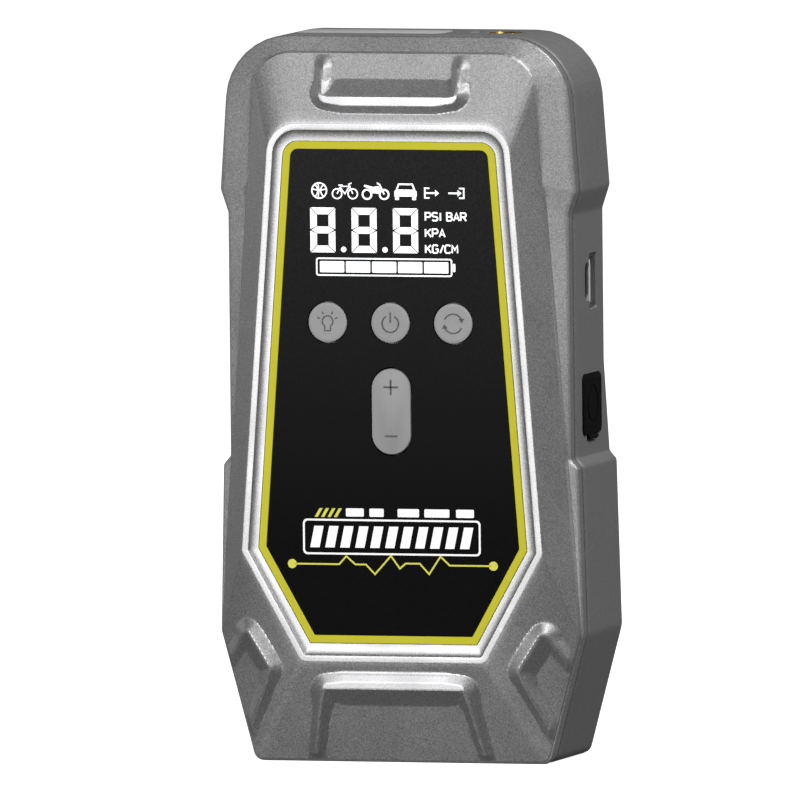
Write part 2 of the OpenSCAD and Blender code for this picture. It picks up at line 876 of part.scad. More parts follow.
module pinion() {
    color("goldenrod") translate([0, pump_y, motor_z]) difference() {
        slab_x(gear_x0, gear_x0 + gear_w) rotate(90) toothed(pinion_teeth);
        rod_x(gear_x0 - 1, gear_x0 + gear_w + 1, 1);
    }
}

module motor_shaft() {
    color("silver") translate([0, pump_y, motor_z]) rod_x(plate_x0 - 31, gear_x0 + gear_w + 0.5, 1);
}

module motor_rotor() {
    color("peru") translate([0, pump_y, motor_z]) difference() {
        union() {
            rod_x(plate_x0 - 21, plate_x0 - 5, 8);
            rod_x(plate_x0 - 25, plate_x0 - 21, 3);
        }
        rod_x(plate_x0 - 30, plate_x0, 1);
    }
}

module motor_can() {
    color("lightgray") translate([0, pump_y, motor_z]) difference() {
        union() {
            rod_x(plate_x0 - 27, plate_x0, 12);
            rod_x(plate_x0 - 1, plate_x0 + plate_t, 3);
        }
        rod_x(plate_x0 - 28, plate_x0 - 1.2, 11.2);
        rod_x(plate_x0 - 28, plate_x0 + 3, 1.05);
    }
}

module motor_magnets() {
    color("dimgray") translate([0, pump_y, motor_z]) difference() {
        rod_x(plate_x0 - 22, plate_x0 - 4, 11.15);
        rod_x(plate_x0 - 30, plate_x0, 9);
        translate([plate_x0 - 13, 0, 0]) cube([30, 8, 30], center = true);
    }
}

module motor_end_cap() {
    color("black") translate([0, pump_y, motor_z]) difference() {
        union() {
            rod_x(plate_x0 - 29, plate_x0 - 27, 12);
            rod_x(plate_x0 - 27, plate_x0 - 26, 11.15);
        }
        rod_x(plate_x0 - 32, plate_x0 - 20, 1.05);
    }
}

module pump_bracket() {
    color("gainsboro") difference() {
        union() {
            translate([0, pump_y, 0]) slab_x(plate_x0, plate_x0 + plate_t)
                translate([0, (motor_z - 14 + shelf_z + shelf_t) / 2])
                    square([26, shelf_z + shelf_t - motor_z + 14], center = true);
            translate([bore_x, pump_y, 0]) slab_z(shelf_z, shelf_z + shelf_t)
                translate([-2, 0]) square([28, 26], center = true);
        }
        translate([0, pump_y, crank_z]) rod_x(plate_x0 - 1, plate_x0 + plate_t + 1, 2.05);
        translate([0, pump_y, motor_z]) rod_x(plate_x0 - 1, plate_x0 + plate_t + 1, 3.05);
        translate([0, pump_y, motor_z]) for (s = [-1, 1]) {
            translate([0, s * 8, 0]) rod_x(plate_x0 - 1, plate_x0 + plate_t + 1, 1.3);
        }
        translate([bore_x, pump_y, shelf_z - 1]) cylinder(h = shelf_t + 2, r = piston_r + 0.3);
        at_head_screws() translate([0, 0, shelf_z - 1]) cylinder(h = 5, r = 1.1);
    }
}

module motor_screws() {
    color("silver") translate([0, pump_y, motor_z]) for (s = [-1, 1]) {
        translate([0, s * 8, 0]) {
            rod_x(plate_x0, plate_x0 + plate_t, 1.2);
            rod_x(plate_x0 + plate_t, plate_x0 + plate_t + 0.8, 2);
        }
    }
}

module at_head_screws() {
    for (x = [-1, 1], y = [-1, 1]) {
        translate([bore_x + x * 9.2, pump_y + y * 9.2, 0]) children();
    }
}

module pump_cylinder() {
    color("silver") translate([bore_x, pump_y, 0]) difference() {
        union() {
            translate([0, 0, barrel_z0]) cylinder(h = barrel_z1 - barrel_z0, r = 10);
            slab_z(barrel_z0, barrel_z0 + 2.5) square([24, 24], center = true);
            for (z = [barrel_z0 + 6, barrel_z0 + 11, barrel_z0 + 16]) {
                translate([0, 0, z]) cylinder(h = 1.2, r = 11.2);
            }
        }
        translate([0, 0, barrel_z0 - 1]) cylinder(h = 30, r = piston_r + 0.05);
        translate([-bore_x, -pump_y, 0]) at_head_screws() translate([0, 0, barrel_z0 - 1]) cylinder(h = 30, r = 1.3);
    }
}

module cylinder_head() {
    color("gray") difference() {
        union() {
            translate([bore_x, pump_y, 0]) slab_z(barrel_z1, barrel_z1 + head_t) square([24, 24], center = true);
            translate([0, pump_y, hose_z]) rod_x(bore_x + 11, outlet_x - hose_bend - 0.02, 1.9);
        }
        translate([0, pump_y, hose_z]) rod_x(bore_x, outlet_x, 1);
        translate([bore_x, pump_y, barrel_z1 - 1]) cylinder(h = head_t / 2 + 1, r = 1);
        at_head_screws() translate([0, 0, barrel_z1 - 1]) cylinder(h = 10, r = 1.3);
    }
}

module head_screws() {
    color("silver") at_head_screws() {
        translate([0, 0, shelf_z]) cylinder(h = barrel_z1 + head_t - shelf_z, r = 1.1);
        translate([0, 0, barrel_z1 + head_t]) cylinder(h = 1.8, r = 2.2);
    }
}

module pressure_sensor() {
    color("black") translate([bore_x - 3, pump_y, barrel_z1 + head_t]) {
        translate([0, 0, 1.5]) cube([8, 8, 3], center = true);
        translate([0, 0, 3]) cylinder(h = 2.4, r = 1.4);
    }
}

module connecting_rod() {
    color("gainsboro") translate([0, pump_y, 0]) difference() {
        union() {
            translate([0, 0, pin_z]) rod_x(rod_x0, rod_x0 + rod_t, 4);
            translate([bore_x, 0, (pin_z + crown_z - 4) / 2]) cube([rod_t, 4, crown_z - 4 - pin_z], center = true);
        }
        translate([0, 0, pin_z]) rod_x(rod_x0 - 1, rod_x0 + rod_t + 1, 2);
    }
}

module crank_pin() {
    color("silver") translate([0, pump_y, pin_z]) {
        rod_x(gear_x0 + gear_w + 0.35, rod_x0 + rod_t, 2);
        rod_x(rod_x0 + rod_t, rod_x0 + rod_t + 0.8, 3);
    }
}

module pump_piston() {
    color("white") translate([bore_x, pump_y, 0]) difference() {
        translate([0, 0, crown_z - 4]) cylinder(h = 4, r = piston_r);
        translate([0, 0, crown_z - 2.6]) difference() {
            cylinder(h = 1.4, r = piston_r + 1);
            cylinder(h = 1.4, r = piston_r - 1.2);
        }
    }
}

module piston_ring() {
    color("black") translate([bore_x, pump_y, crown_z - 2.6]) difference() {
        cylinder(h = 1.4, r = piston_r + 0.02);
        translate([0, 0, -1]) cylinder(h = 4, r = piston_r - 1.2);
    }
}

front_shell();
rear_shell();
case_screws();
accent_frame();
display_window();
display_figures();
charge_gauge();
display_marks();
window_trim();
window_badge();
display_module();
main_board();
board_screws();
board_chips();
tact_switches();
light_button();
power_button();
mode_button();
adjust_rocker();
rocker_pin();
rocker_yoke();
lamp_lens();
lamp_reflector();
lamp_board();
lamp_leds();
status_light();
air_outlet();
outlet_hose();
usb_a_shell();
usb_a_tongue();
usb_c_shell();
usb_c_tongue();
port_board();
jump_socket();
jump_contacts();
port_cover();
battery_cells();
cell_holders();
busbars();
power_board();
power_switches();
power_coil();
crank_gear();
crank_shaft();
pinion();
motor_shaft();
motor_rotor();
motor_can();
motor_magnets();
motor_end_cap();
pump_bracket();
motor_screws();
pump_cylinder();
cylinder_head();
head_screws();
pressure_sensor();
connecting_rod();
crank_pin();
pump_piston();
piston_ring();
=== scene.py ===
"""Looks of a handheld jump starter pack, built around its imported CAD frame. Lengths in this script are
millimetres until a mesh is made, and +Z is up, the display faces -Y and the charging ports face +X."""

import json
import math

import bmesh
import bpy
import numpy as np
from mathutils import Matrix, Vector


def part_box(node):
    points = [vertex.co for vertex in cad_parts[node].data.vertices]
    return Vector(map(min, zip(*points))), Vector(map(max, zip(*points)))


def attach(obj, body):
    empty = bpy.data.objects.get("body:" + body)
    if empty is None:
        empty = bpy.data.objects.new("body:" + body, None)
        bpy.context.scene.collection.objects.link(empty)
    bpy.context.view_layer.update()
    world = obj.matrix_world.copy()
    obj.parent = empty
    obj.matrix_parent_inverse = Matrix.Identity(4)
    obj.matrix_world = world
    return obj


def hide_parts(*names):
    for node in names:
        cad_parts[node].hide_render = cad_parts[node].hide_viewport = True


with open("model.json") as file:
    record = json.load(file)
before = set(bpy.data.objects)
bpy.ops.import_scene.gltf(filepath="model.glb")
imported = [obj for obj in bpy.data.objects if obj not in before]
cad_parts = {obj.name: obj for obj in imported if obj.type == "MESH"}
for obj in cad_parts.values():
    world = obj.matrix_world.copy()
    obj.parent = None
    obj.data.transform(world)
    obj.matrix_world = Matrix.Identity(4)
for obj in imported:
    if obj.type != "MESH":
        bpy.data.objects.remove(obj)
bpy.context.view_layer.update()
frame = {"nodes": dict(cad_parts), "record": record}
MM = 0.001


def node_box(node):
    """Lowest and highest corner of a CAD node, in millimetres."""
    low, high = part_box(node)
    return np.array(low) / MM, np.array(high) / MM


def node_mid(node):
    low, high = node_box(node)
    return (low + high) / 2


# ---------- sizes read from the frame ----------
SHELL_LOW, SHELL_HIGH = node_box("front_shell")
REAR_LOW, REAR_HIGH = node_box("rear_shell")
WINDOW_LOW, WINDOW_HIGH = node_box("display_window")
FRONT_Y = SHELL_LOW[1]
BACK_Y = REAR_HIGH[1]
CASE_H = SHELL_HIGH[2]
JOINT_DEPTH = REAR_LOW[1] - FRONT_Y
WINDOW_Y = WINDOW_LOW[1]
WINDOW_BACK_Y = WINDOW_HIGH[1]
SINK = WINDOW_Y - FRONT_Y
SOCKET_RECESS = 1.3
SIDE_X = node_box("jump_socket")[1][0] + SOCKET_RECESS

# ---------- shape of the case; depths are measured back from the front of the bezel ----------
BACK_STEP = 4.7
BACK_R = 5.0
BACK_INNER_R = 3
UPPER_BACK = BACK_Y - BACK_STEP
BUMPER_TOP = 107
BUMPER_SLOPE_H = 24
WALL = 2.2
EDGE_DEPTH = 8.6
EDGE_R = 0.5
SKIRT_DEPTH = 10.0
SKIRT_TUCK = 0.7
STEP_W = 0.6
BEZEL_W = 1.8
ACCENT_W = 2.2
# right half of each outline from the bottom up: x, z, corner radius
CASE_CORNERS = [
    (41.5, 0, 3),
    (50.895, 35, 6),
    (49.8, 80, 0.8),
    (47.8, 82.3, 0.8),
    (47.8, 148, 1),
    (49.9, 154.3, 2),
    (47, CASE_H, 18),
]
BEZEL_CORNERS = [(25.8, 27.6, 2.5), (42.2, 57.2, 2), (33.6, 172.8, 8.5)]
WINDOW_CORNERS = [(23.4, 32.6, 0.3), (37.7, 58.1, 0.3), (29.6, 168.1, 4.4)]
FOOT_CORNERS = [(40.8, 0.8, 3), (50.2, 35, 5), (38.7, 191.4, 10.5)]
# from the bottom up, one value at each stop of a matched ring
FOOT_DEPTHS = [8.3, 8.3, 7.4, 6, 6, 6]
BAND_SLOPES = [0.28, 0.28, 0.28, 0.28, 0.46, 0.46]


# ---------- outline helpers ----------
def unit(v):
    return v / np.linalg.norm(v)


def left_of(v):
    return np.array([-v[1], v[0]])


def mirrored(half):
    """A right half outline from bottom to top, closed by its mirror image."""
    half = np.asarray(half, float)
    return np.vstack([half, (half * [-1, 1])[::-1]])


def outline(half):
    """A closed outline from a right half that starts and ends on the middle line."""
    return np.vstack([half, (half * [-1, 1])[-2:0:-1]])


def inset(points, d):
    """A closed outline moved inwards by d."""
    out = []
    for before, here, after in zip(np.roll(points, 1, 0), points, np.roll(points, -1, 0)):
        a, b = left_of(unit(here - before)), left_of(unit(after - here))
        out.append(here + d * (a + b) / (1 + a @ b))
    return np.array(out)


def corner_arc(before, here, after, radius, steps):
    """Points that round one corner."""
    a, b = unit(here - before), unit(after - here)
    turn = math.atan2(a[0] * b[1] - a[1] * b[0], a @ b)
    side = math.copysign(1, turn)
    start = here - a * radius * math.tan(abs(turn) / 2)
    centre = start + left_of(a) * side * radius
    spoke = start - centre
    across = left_of(spoke)
    return np.array([
        centre + spoke * math.cos(t) + across * math.sin(t) for t in np.linspace(0, turn, steps + 1)
    ])


def rounded_half(corners, d=0.0, steps=8):
    """Right half of an outline with rounded corners, and where each corner's arc lies in it."""
    points = inset(mirrored([c[:2] for c in corners]), d)
    path, marks = [np.array([0, points[0][1]])], []
    for i, (_, _, radius) in enumerate(corners):
        before, here, after = points[i - 1], points[i], points[(i + 1) % len(points)]
        a, b = here - before, after - here
        convex = a[0] * b[1] - a[1] * b[0] > 0
        fitted = max(radius - d, 0.25) if convex else radius + max(d, 0)
        arc = corner_arc(before, here, after, fitted, steps)
        marks.append((len(path), len(path) + steps // 2, len(path) + steps))
        path.extend(arc)
    path.append(np.array([0, path[-1][1]]))
    return np.array(path), marks


def resample(path, count):
    """count even points along a path, without its last one."""
    reach = np.concatenate([[0], np.cumsum(np.linalg.norm(np.diff(path, axis=0), axis=1))])
    at = np.linspace(0, reach[-1], count + 1)[:-1]
    return np.column_stack([np.interp(at, reach, path[:, k]) for k in (0, 1)])


# points between one stop of a matched ring and the next
COUNTS = (70, 84, 240, 54, 60)
REAR_COUNTS = (26, 40, 200, 30, 30)


def matched_ring(corners, d=0.0, counts=COUNTS):
    """A closed ring whose points line up with those of every other ring. Its stops are the bottom, the lower
    corner, the side corner, the start and the end of the top corner, and the top."""
    path, marks = rounded_half(corners, d)
    stops = [0, marks[0][1], marks[1][1], marks[-1][0], marks[-1][2], len(path) - 1]
    runs = [resample(path[a:b + 1], n) for a, b, n in zip(stops, stops[1:], counts)]
    return outline(np.vstack(runs + [path[-1:]]))


def matched_values(values):
    """Values given at the stops of a matched ring, spread over its points."""
    stops = np.concatenate([[0], np.cumsum(COUNTS)])
    half = np.interp(np.arange(stops[-1] + 1), stops, values)
    return np.concatenate([half, half[-2:0:-1]])


def between(a, b, t):
    return a + (b - a) * t


def ease(t, share):
    """A ramp from 0 to 1, with a share of it soft at both ends."""
    return (1 - share) * t + share * t * t * (3 - 2 * t)


def circle(radius, count, centre=(0, 0)):
    angles = np.arange(count) * 2 * math.pi / count
    return np.column_stack([np.cos(angles), np.sin(angles)]) * radius + centre


def rounded_rect(w, h, r, steps=6):
    corners = [(w / 2, -h / 2, r), (w / 2, h / 2, r)]
    half, _ = rounded_half(corners, 0, steps)
    return outline(half)


def pill(w, h):
    return rounded_rect(w, h, w / 2 - 0.01, 12)


def polar(radius, angle):
    return np.array([math.cos(math.radians(angle)), math.sin(math.radians(angle))]) * radius


def arc_points(radius, start, end, count, centre=(0, 0)):
    return np.array([polar(radius, angle) for angle in np.linspace(start, end, count)]) + centre


# ---------- mesh helpers ----------
def put_in_scene(name, data):
    obj = bpy.data.objects.new(name, data)
    bpy.context.scene.collection.objects.link(obj)
    return obj


AXES = {
    "front": lambda a, b, depth: (a, depth, b),
    "side": lambda a, b, depth: (depth, a, b),
    "top": lambda a, b, depth: (a, b, depth),
}


def skin_faces(n, count, loop):
    """Quads between rings of n points each; loop joins the last ring to the first."""
    faces = []
    for k in range(count if loop else count - 1):
        a, b = k * n, ((k + 1) % count) * n
        faces.extend((a + i, a + (i + 1) % n, b + (i + 1) % n, b + i) for i in range(n))
    return faces


class Shape:
    """Collects closed solids in millimetres and turns them into one mesh object."""

    def __init__(self):
        self.points = []
        self.faces = []

    def add(self, points, faces):
        base = len(self.points)
        self.points.extend(np.asarray(points, float).tolist())
        self.faces.extend([tuple(base + i for i in f) for f in faces])

    def loft(self, rings, loop=False):
        """Skin over rings of 3-D points, all of one length, with flat ends unless it is a loop."""
        n = len(rings[0])
        count = len(rings)
        faces = skin_faces(n, count, loop)
        if not loop:
            faces.append(tuple(range(n - 1, -1, -1)))
            faces.append(tuple((count - 1) * n + i for i in range(n)))
        self.add(np.vstack(rings), faces)

    def prism(self, flat, levels, axis="front", centre=(0, 0), loop=False):
        """A flat outline carried through (depth, inset) levels along an axis."""
        place = AXES[axis]
        rings = []
        for depth, shrink in levels:
            moved = inset(flat, shrink) if shrink else flat
            rings.append([place(a + centre[0], b + centre[1], depth) for a, b in moved])
        self.loft([np.array(r) for r in rings], loop=loop)

    def lathe(self, profile, axis, centre, count=64):
        """A (radius, depth) profile turned about an axis: its ends lie on the axis or meet."""
        place = AXES[axis]
        rings = [
            np.array([place(a, b, depth) for a, b in circle(max(radius, 0.001), count, centre)])
            for radius, depth in profile
        ]
        closed = profile[0] == profile[-1]
        self.loft(rings[:-1] if closed else rings, loop=closed)

    def build(self, name):
        mesh = bpy.data.meshes.new(name)
        mesh.from_pydata([[c * MM for c in p] for p in self.points], [], self.faces)
        mesh.validate()
        fix_normals(mesh)
        return put_in_scene(name, mesh)


def fix_normals(mesh):
    work = bmesh.new()
    work.from_mesh(mesh)
    bmesh.ops.recalc_face_normals(work, faces=work.faces)
    work.to_mesh(mesh)
    work.free()


def smooth(obj, angle):
    obj.data.shade_smooth()
    obj.data.set_sharp_from_angle(angle=math.radians(angle))


def piece(shape, name, material, nodes=(), body="case", angle=30):
    """Makes a piece, rides it on its body and hides the CAD nodes that it stands for."""
    obj = shape.build(name) if isinstance(shape, Shape) else shape
    obj.data.materials.clear()
    obj.data.materials.append(material)
    smooth(obj, angle)
    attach(obj, body)
    if nodes:
        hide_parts(*nodes)


def cut(obj, cutter):
    """Cuts one solid out of another and throws the cutter away."""
    step = obj.modifiers.new("cut", "BOOLEAN")
    step.operation = "DIFFERENCE"
    step.solver = "EXACT"
    step.use_self = True
    step.object = cutter
    result = bpy.data.meshes.new_from_object(obj.evaluated_get(bpy.context.evaluated_depsgraph_get()))
    obj.modifiers.clear()
    obj.data = result
    bpy.data.objects.remove(cutter)


# ---------- materials ----------
class Nodes:
    """A small builder for one node material."""

    def __init__(self, name, roughness=0.5, metallic=0.0, **plain):
        self.material = bpy.data.materials.new(name)
        self.material.use_nodes = True
        self.tree = self.material.node_tree
        self.shader = self.tree.nodes["Principled BSDF"]
        self.put(self.shader, Roughness=roughness, Metallic=metallic, **plain)
        self.place = self.add("TexCoord").outputs["Object"]

    def put(self, node, **values):
        """Sets plain values on a node's inputs; an underscore stands for a space."""
        for key, value in values.items():
            node.inputs[key.replace("_", " ")].default_value = value

    def add(self, kind, **values):
        node = self.tree.nodes.new("ShaderNode" + kind)
        self.put(node, **values)
        return node

    def link(self, a, b):
        self.tree.links.new(a, b)

    def noise(self, scale, detail=2.0, roughness=0.5, stretch=None):
        node = self.add("TexNoise", Scale=scale, Detail=detail, Roughness=roughness)
        place = self.place
        if stretch:
            mapping = self.add("Mapping", Scale=stretch)
            self.link(place, mapping.inputs["Vector"])
            place = mapping.outputs["Vector"]
        self.link(place, node.inputs["Vector"])
        return node.outputs["Fac"]

    def span(self, value, low, high, start=0.3, end=0.7):
        node = self.add("MapRange", From_Min=start, From_Max=end, To_Min=low, To_Max=high)
        self.link(value, node.inputs["Value"])
        return node.outputs["Result"]

    def mix(self, factor, a, b):
        node = self.add("Mix")
        node.data_type = "RGBA"
        self.link(factor, node.inputs["Factor"])
        for key, value in (("A", a), ("B", b)):
            socket = next(s for s in node.inputs if s.name == key and s.type == "RGBA")
            if isinstance(value, tuple):
                socket.default_value = (*value, 1)
            else:
                self.link(value, socket)
        return next(s for s in node.outputs if s.type == "RGBA")

    def maths(self, kind, operation, a, b):
        node = self.add(kind)
        node.operation = operation
        self.link(a, node.inputs[0])
        self.link(b, node.inputs[1])
        return node.outputs[0]

    def height(self):
        """Height above the floor, in metres."""
        node = self.add("SeparateXYZ")
        self.link(self.place, node.inputs["Vector"])
        return node.outputs["Z"]

    def bump(self, height, strength, distance):
        node = self.add("Bump", Strength=strength, Distance=distance * MM)
        self.link(height, node.inputs["Height"])
        self.link(node.outputs["Normal"], self.shader.inputs["Normal"])

    def convex_edge_highlight(self):
        """High where the surface is sharply convex; used to paint highlights on sharp edges."""
        return self.add("NewGeometry").outputs["Pointiness"]

    def colour(self, source):
        self.link(source, self.shader.inputs["Base Color"])

    def rough(self, source):
        self.link(source, self.shader.inputs["Roughness"])


def speckled_metal(name, dark, light, rough_low, rough_high, metallic, grain=3000.0, bump=0.14):
    """Metallic paint: fine bright flakes, slow cloudiness, slightly uneven gloss and painted highlights on
    sharp convex edges.
    """
    m = Nodes(name, metallic=metallic)
    flakes = m.noise(grain, 1.5, 0.6)
    cloud = m.noise(60, 2)
    base = m.mix(m.span(flakes, 0, 1, 0.32, 0.68), dark, light)
    # painted highlight: the base colour is lightened on sharp convex edges and crests
    edge_highlighted_base = m.mix(m.span(m.convex_edge_highlight(), 0, 0.35, 0.53, 0.62), base, tuple(min(1, c * 1.25) for c in light))
    m.colour(edge_highlighted_base)
    m.rough(m.maths("Math", "ADD", m.span(flakes, rough_low, rough_high), m.span(cloud, -0.03, 0.03)))
    m.bump(flakes, bump, 0.05)
    return m.material


def moulded(name, dark, light, roughness=0.5, grain=900.0, bump=0.15, **plain):
    """Moulded plastic or rubber with a fine texture and faint cloudiness."""
    m = Nodes(name, roughness, **plain)
    fine = m.noise(grain, 3, 0.6)
    cloud = m.noise(45, 3)
    m.colour(m.mix(m.span(cloud, 0, 1), dark, light))
    m.rough(m.span(fine, max(roughness - 0.07, 0.02), min(roughness + 0.07, 1)))
    m.bump(fine, bump, 0.04)
    return m.material


def glowing(name, colour, strength):
    """A mark that gives off light, with faint unevenness; lit display marks use it, and printed marks get a
    painted glow from it.
    """
    m = Nodes(name, 0.45)
    cloud = m.noise(400, 2)
    tint = m.mix(m.span(cloud, 0, 1), tuple(c * 0.93 for c in colour), colour)
    m.colour(tint)
    m.link(tint, m.shader.inputs["Emission Color"])
    m.put(m.shader, Emission_Strength=strength)
    return m.material


def turned_metal(name, dark, light, roughness=0.28, stretch=(900, 900, 40)):
    """Machined or drawn metal with fine lines."""
    m = Nodes(name, roughness, 1.0)
    lines = m.noise(1, 4, 0.7, stretch)
    m.colour(m.mix(m.span(lines, 0, 1), dark, light))
    m.rough(m.span(lines, roughness - 0.08, roughness + 0.1))
    m.bump(lines, 0.1, 0.03)
    return m.material


def clear_plastic(name, colour, roughness, transmission):
    m = Nodes(name, roughness, IOR=1.49, Transmission_Weight=transmission)
    fine = m.noise(350, 2)
    m.colour(m.mix(m.span(fine, 0, 1), tuple(c * 0.96 for c in colour), colour))
    m.rough(m.span(fine, roughness - 0.04, roughness + 0.04))
    return m.material


def window_black(name):
    """Smoked window: near black and satin, with a fine orange-peel grain, and a painted sheen that makes it
    lighter towards the top.
    """
    m = Nodes(name, Specular_IOR_Level=0.05)
    fine = m.noise(1500, 2, 0.7)
    grain = m.mix(m.span(fine, 0, 1), (0.45, 0.45, 0.45), (1, 1, 1))
    # painted sheen: the base colour grows lighter with height, standing in for light falling on the upper
    # window
    painted_sheen_by_height = m.mix(m.span(m.height(), 0, 1, 0.06, 0.17), (0.003, 0.003, 0.003), (0.034, 0.034, 0.034))
    m.colour(m.maths("VectorMath", "MULTIPLY", grain, painted_sheen_by_height))
    m.rough(m.span(fine, 0.46, 0.6))
    m.bump(fine, 0.2, 0.03)
    return m.material


MATS = {
    "case_metal": speckled_metal("case_metal", (0.38, 0.38, 0.385), (0.66, 0.66, 0.67), 0.42, 0.52, 0.92),
    "case_grey": speckled_metal(
        "case_grey", (0.20, 0.20, 0.202), (0.28, 0.28, 0.283), 0.5, 0.6, 0.3, grain=1800, bump=0.08
    ),
    "accent": moulded(
        "accent", (0.80, 0.745, 0.026), (0.86, 0.80, 0.032), 0.5, 700, 0.08, Specular_IOR_Level=0.2
    ),
    "window": window_black("window"),
    "glow": glowing("glow", (0.93, 0.95, 0.97), 0.9),
    # printed marks: the emission on these two is a painted glow, as the print is not lit
    "print_yellow": glowing("print_yellow", (0.72, 0.70, 0.05), 0.25),
    "print_white": glowing("print_white", (0.9, 0.9, 0.9), 0.5),
    "key": moulded("key", (0.43, 0.43, 0.432), (0.48, 0.48, 0.482), 0.55, 1300, 0.2, Specular_IOR_Level=0.3),
    "key_mark": moulded("key_mark", (0.10, 0.10, 0.10), (0.13, 0.13, 0.13), 0.6, 1300, 0.2),
    "dark_plastic": moulded("dark_plastic", (0.012, 0.012, 0.013), (0.024, 0.024, 0.025), 0.5),
    "steel": turned_metal("steel", (0.48, 0.48, 0.49), (0.68, 0.68, 0.69)),
    "board": moulded("board", (0.006, 0.07, 0.03), (0.01, 0.12, 0.05), 0.4, 500, 0.1),
    "chip": moulded("chip", (0.012, 0.012, 0.013), (0.022, 0.022, 0.023), 0.55),
    "lens": clear_plastic("lens", (0.93, 0.94, 0.95), 0.35, 0.35),
    "reflector": turned_metal("reflector", (0.78, 0.78, 0.79), (0.9, 0.9, 0.9), 0.12),
    "led": moulded("led", (0.78, 0.66, 0.2), (0.9, 0.8, 0.3), 0.4, 600, 0.1),
    "brass": turned_metal("brass", (0.62, 0.38, 0.10), (0.80, 0.54, 0.18), 0.26),
    "rubber": moulded(
        "rubber", (0.003, 0.003, 0.003), (0.006, 0.006, 0.006), 0.6, 1500, 0.25, Specular_IOR_Level=0.1
    ),
    "white_plastic": moulded("white_plastic", (0.80, 0.80, 0.79), (0.88, 0.88, 0.87), 0.4),
    "socket": moulded("socket", (0.02, 0.07, 0.28), (0.03, 0.1, 0.38), 0.45),
    "cell": moulded("cell", (0.01, 0.2, 0.23), (0.02, 0.28, 0.31), 0.32, 300, 0.05),
    "copper": turned_metal("copper", (0.50, 0.20, 0.10), (0.72, 0.34, 0.18), 0.35, (40, 900, 900)),
    "alloy": turned_metal("alloy", (0.50, 0.50, 0.52), (0.66, 0.66, 0.68), 0.42, (300, 300, 300)),
    "magnet": moulded("magnet", (0.05, 0.05, 0.05), (0.08, 0.08, 0.08), 0.6, 700, 0.3),
    "nylon": moulded("nylon", (0.72, 0.68, 0.56), (0.80, 0.76, 0.64), 0.45),
    "ptfe": moulded("ptfe", (0.08, 0.07, 0.06), (0.12, 0.11, 0.1), 0.5),
}


def dress_cad_nodes():
    """Every CAD node takes the procedural material of its slot."""
    for sub in frame["record"]["subparts"]:
        obj = frame["nodes"][sub["node"]]
        obj.data.materials.clear()
        obj.data.materials.append(MATS[sub["material_slot"]])


# ---------- front shell ----------
def along_path(nodes, radius=1.5, steps=5):
    """A path of (x, z, values...) nodes with its inner corners rounded."""
    nodes = [np.array(n, float) for n in nodes]
    out = [nodes[0]]
    for before, here, after in zip(nodes, nodes[1:], nodes[2:]):
        arc = corner_arc(before[:2], here[:2], after[:2], radius, steps)
        out.extend(np.concatenate([p, here[2:]]) for p in arc)
    out.append(nodes[-1])
    return np.array(out)


def ridge_height(points, path, crest=0.4):
    """Height of a ridge over each (x, z) point: path rows are x, z, width left, width right, height."""
    best = np.full(len(points), np.inf)
    height = np.zeros(len(points))
    for a, b in zip(path, path[1:]):
        run = b[:2] - a[:2]
        # a straight corner's arc has no length
        t = np.clip(((points - a[:2]) @ run) / max(run @ run, 1e-6), 0, 1)
        away = points - (a[:2] + t[:, None] * run)
        dist = np.linalg.norm(away, axis=1)
        on_left = run[0] * away[:, 1] - run[1] * away[:, 0] > 0
        values = between(a[2:], b[2:], t[:, None])
        width = np.where(on_left, values[:, 0], values[:, 1])
        slope = np.clip((dist - crest) / (width - crest), 0, 1)
        nearer = dist / width < best
        height = np.where(nearer, values[:, 2] * (1 - ease(slope, 0.07)), height)
        best = np.minimum(best, dist / width)
    return height


def both_sides(nodes):
    """A path from the left to the middle, carried on by its mirror image."""
    return nodes + [(-x, *rest) for x, *rest in reversed(nodes)]


# x, z, width on the left of the path, width on its right, height
TOP_RIDGE = both_sides([
    (-19.4, 193, 2.4, 2.5, 1.0),
    (-19.1, 184, 2.5, 2.5, 1.9),
    (-19, 179.7, 4.6, 3.4, 2.3),
    (-13, 179.4, 5.2, 3.9, 2.3),
])
LOW_RIDGE = both_sides([
    (-24.4, -1, 2.4, 2.3, 1.6),
    (-21.2, 14.5, 2.6, 2.5, 2.1),
    (-19.6, 20.6, 4.0, 4.0, 2.1),
    (-14, 20.7, 4.5, 4.9, 2.1),
])
CORNER_RIDGE = [
    (43.6, 6.5, 2.4, 2.4, 1.0),
    (36.8, 20.5, 2.6, 2.6, 2.1),
    (34.9, 25.6, 3.4, 3.6, 2.3),
    (36.6, 28.3, 3.7, 4.0, 2.3),
    (40, 33.6, 3.7, 4.0, 2.3),
    (41.7, 36.4, 3.4, 3.6, 2.3),
    (43.8, 33, 2.6, 2.6, 2.0),
    (49.4, 25, 2.3, 2.3, 0.9),
]
RIDGE_ARC = 1.5
CORNER_RIDGE_ARC = 1.0
# how quickly the ridges rise from the bezel and run out towards the foot, at the top and at the bottom
RIDGE_RISE = 12
TOP_RUN_OUT = 5
LOW_RUN_OUT = 16
LEAST_RIDGE = 0.1


def all_ridges(points):
    right_half = np.column_stack([abs(points[:, 0]), points[:, 1]])
    top = ridge_height(points, along_path(TOP_RIDGE, RIDGE_ARC))
    low = ridge_height(points, along_path(LOW_RIDGE, RIDGE_ARC))
    corner = ridge_height(right_half, along_path(CORNER_RIDGE, CORNER_RIDGE_ARC))
    return np.maximum(np.maximum(top, low), corner)


def at_depth(ring, depth):
    """A flat ring of (x, z) points, set back by depth behind the front of the bezel."""
    return np.column_stack([ring[:, 0], FRONT_Y + np.broadcast_to(depth, len(ring)), ring[:, 1]])


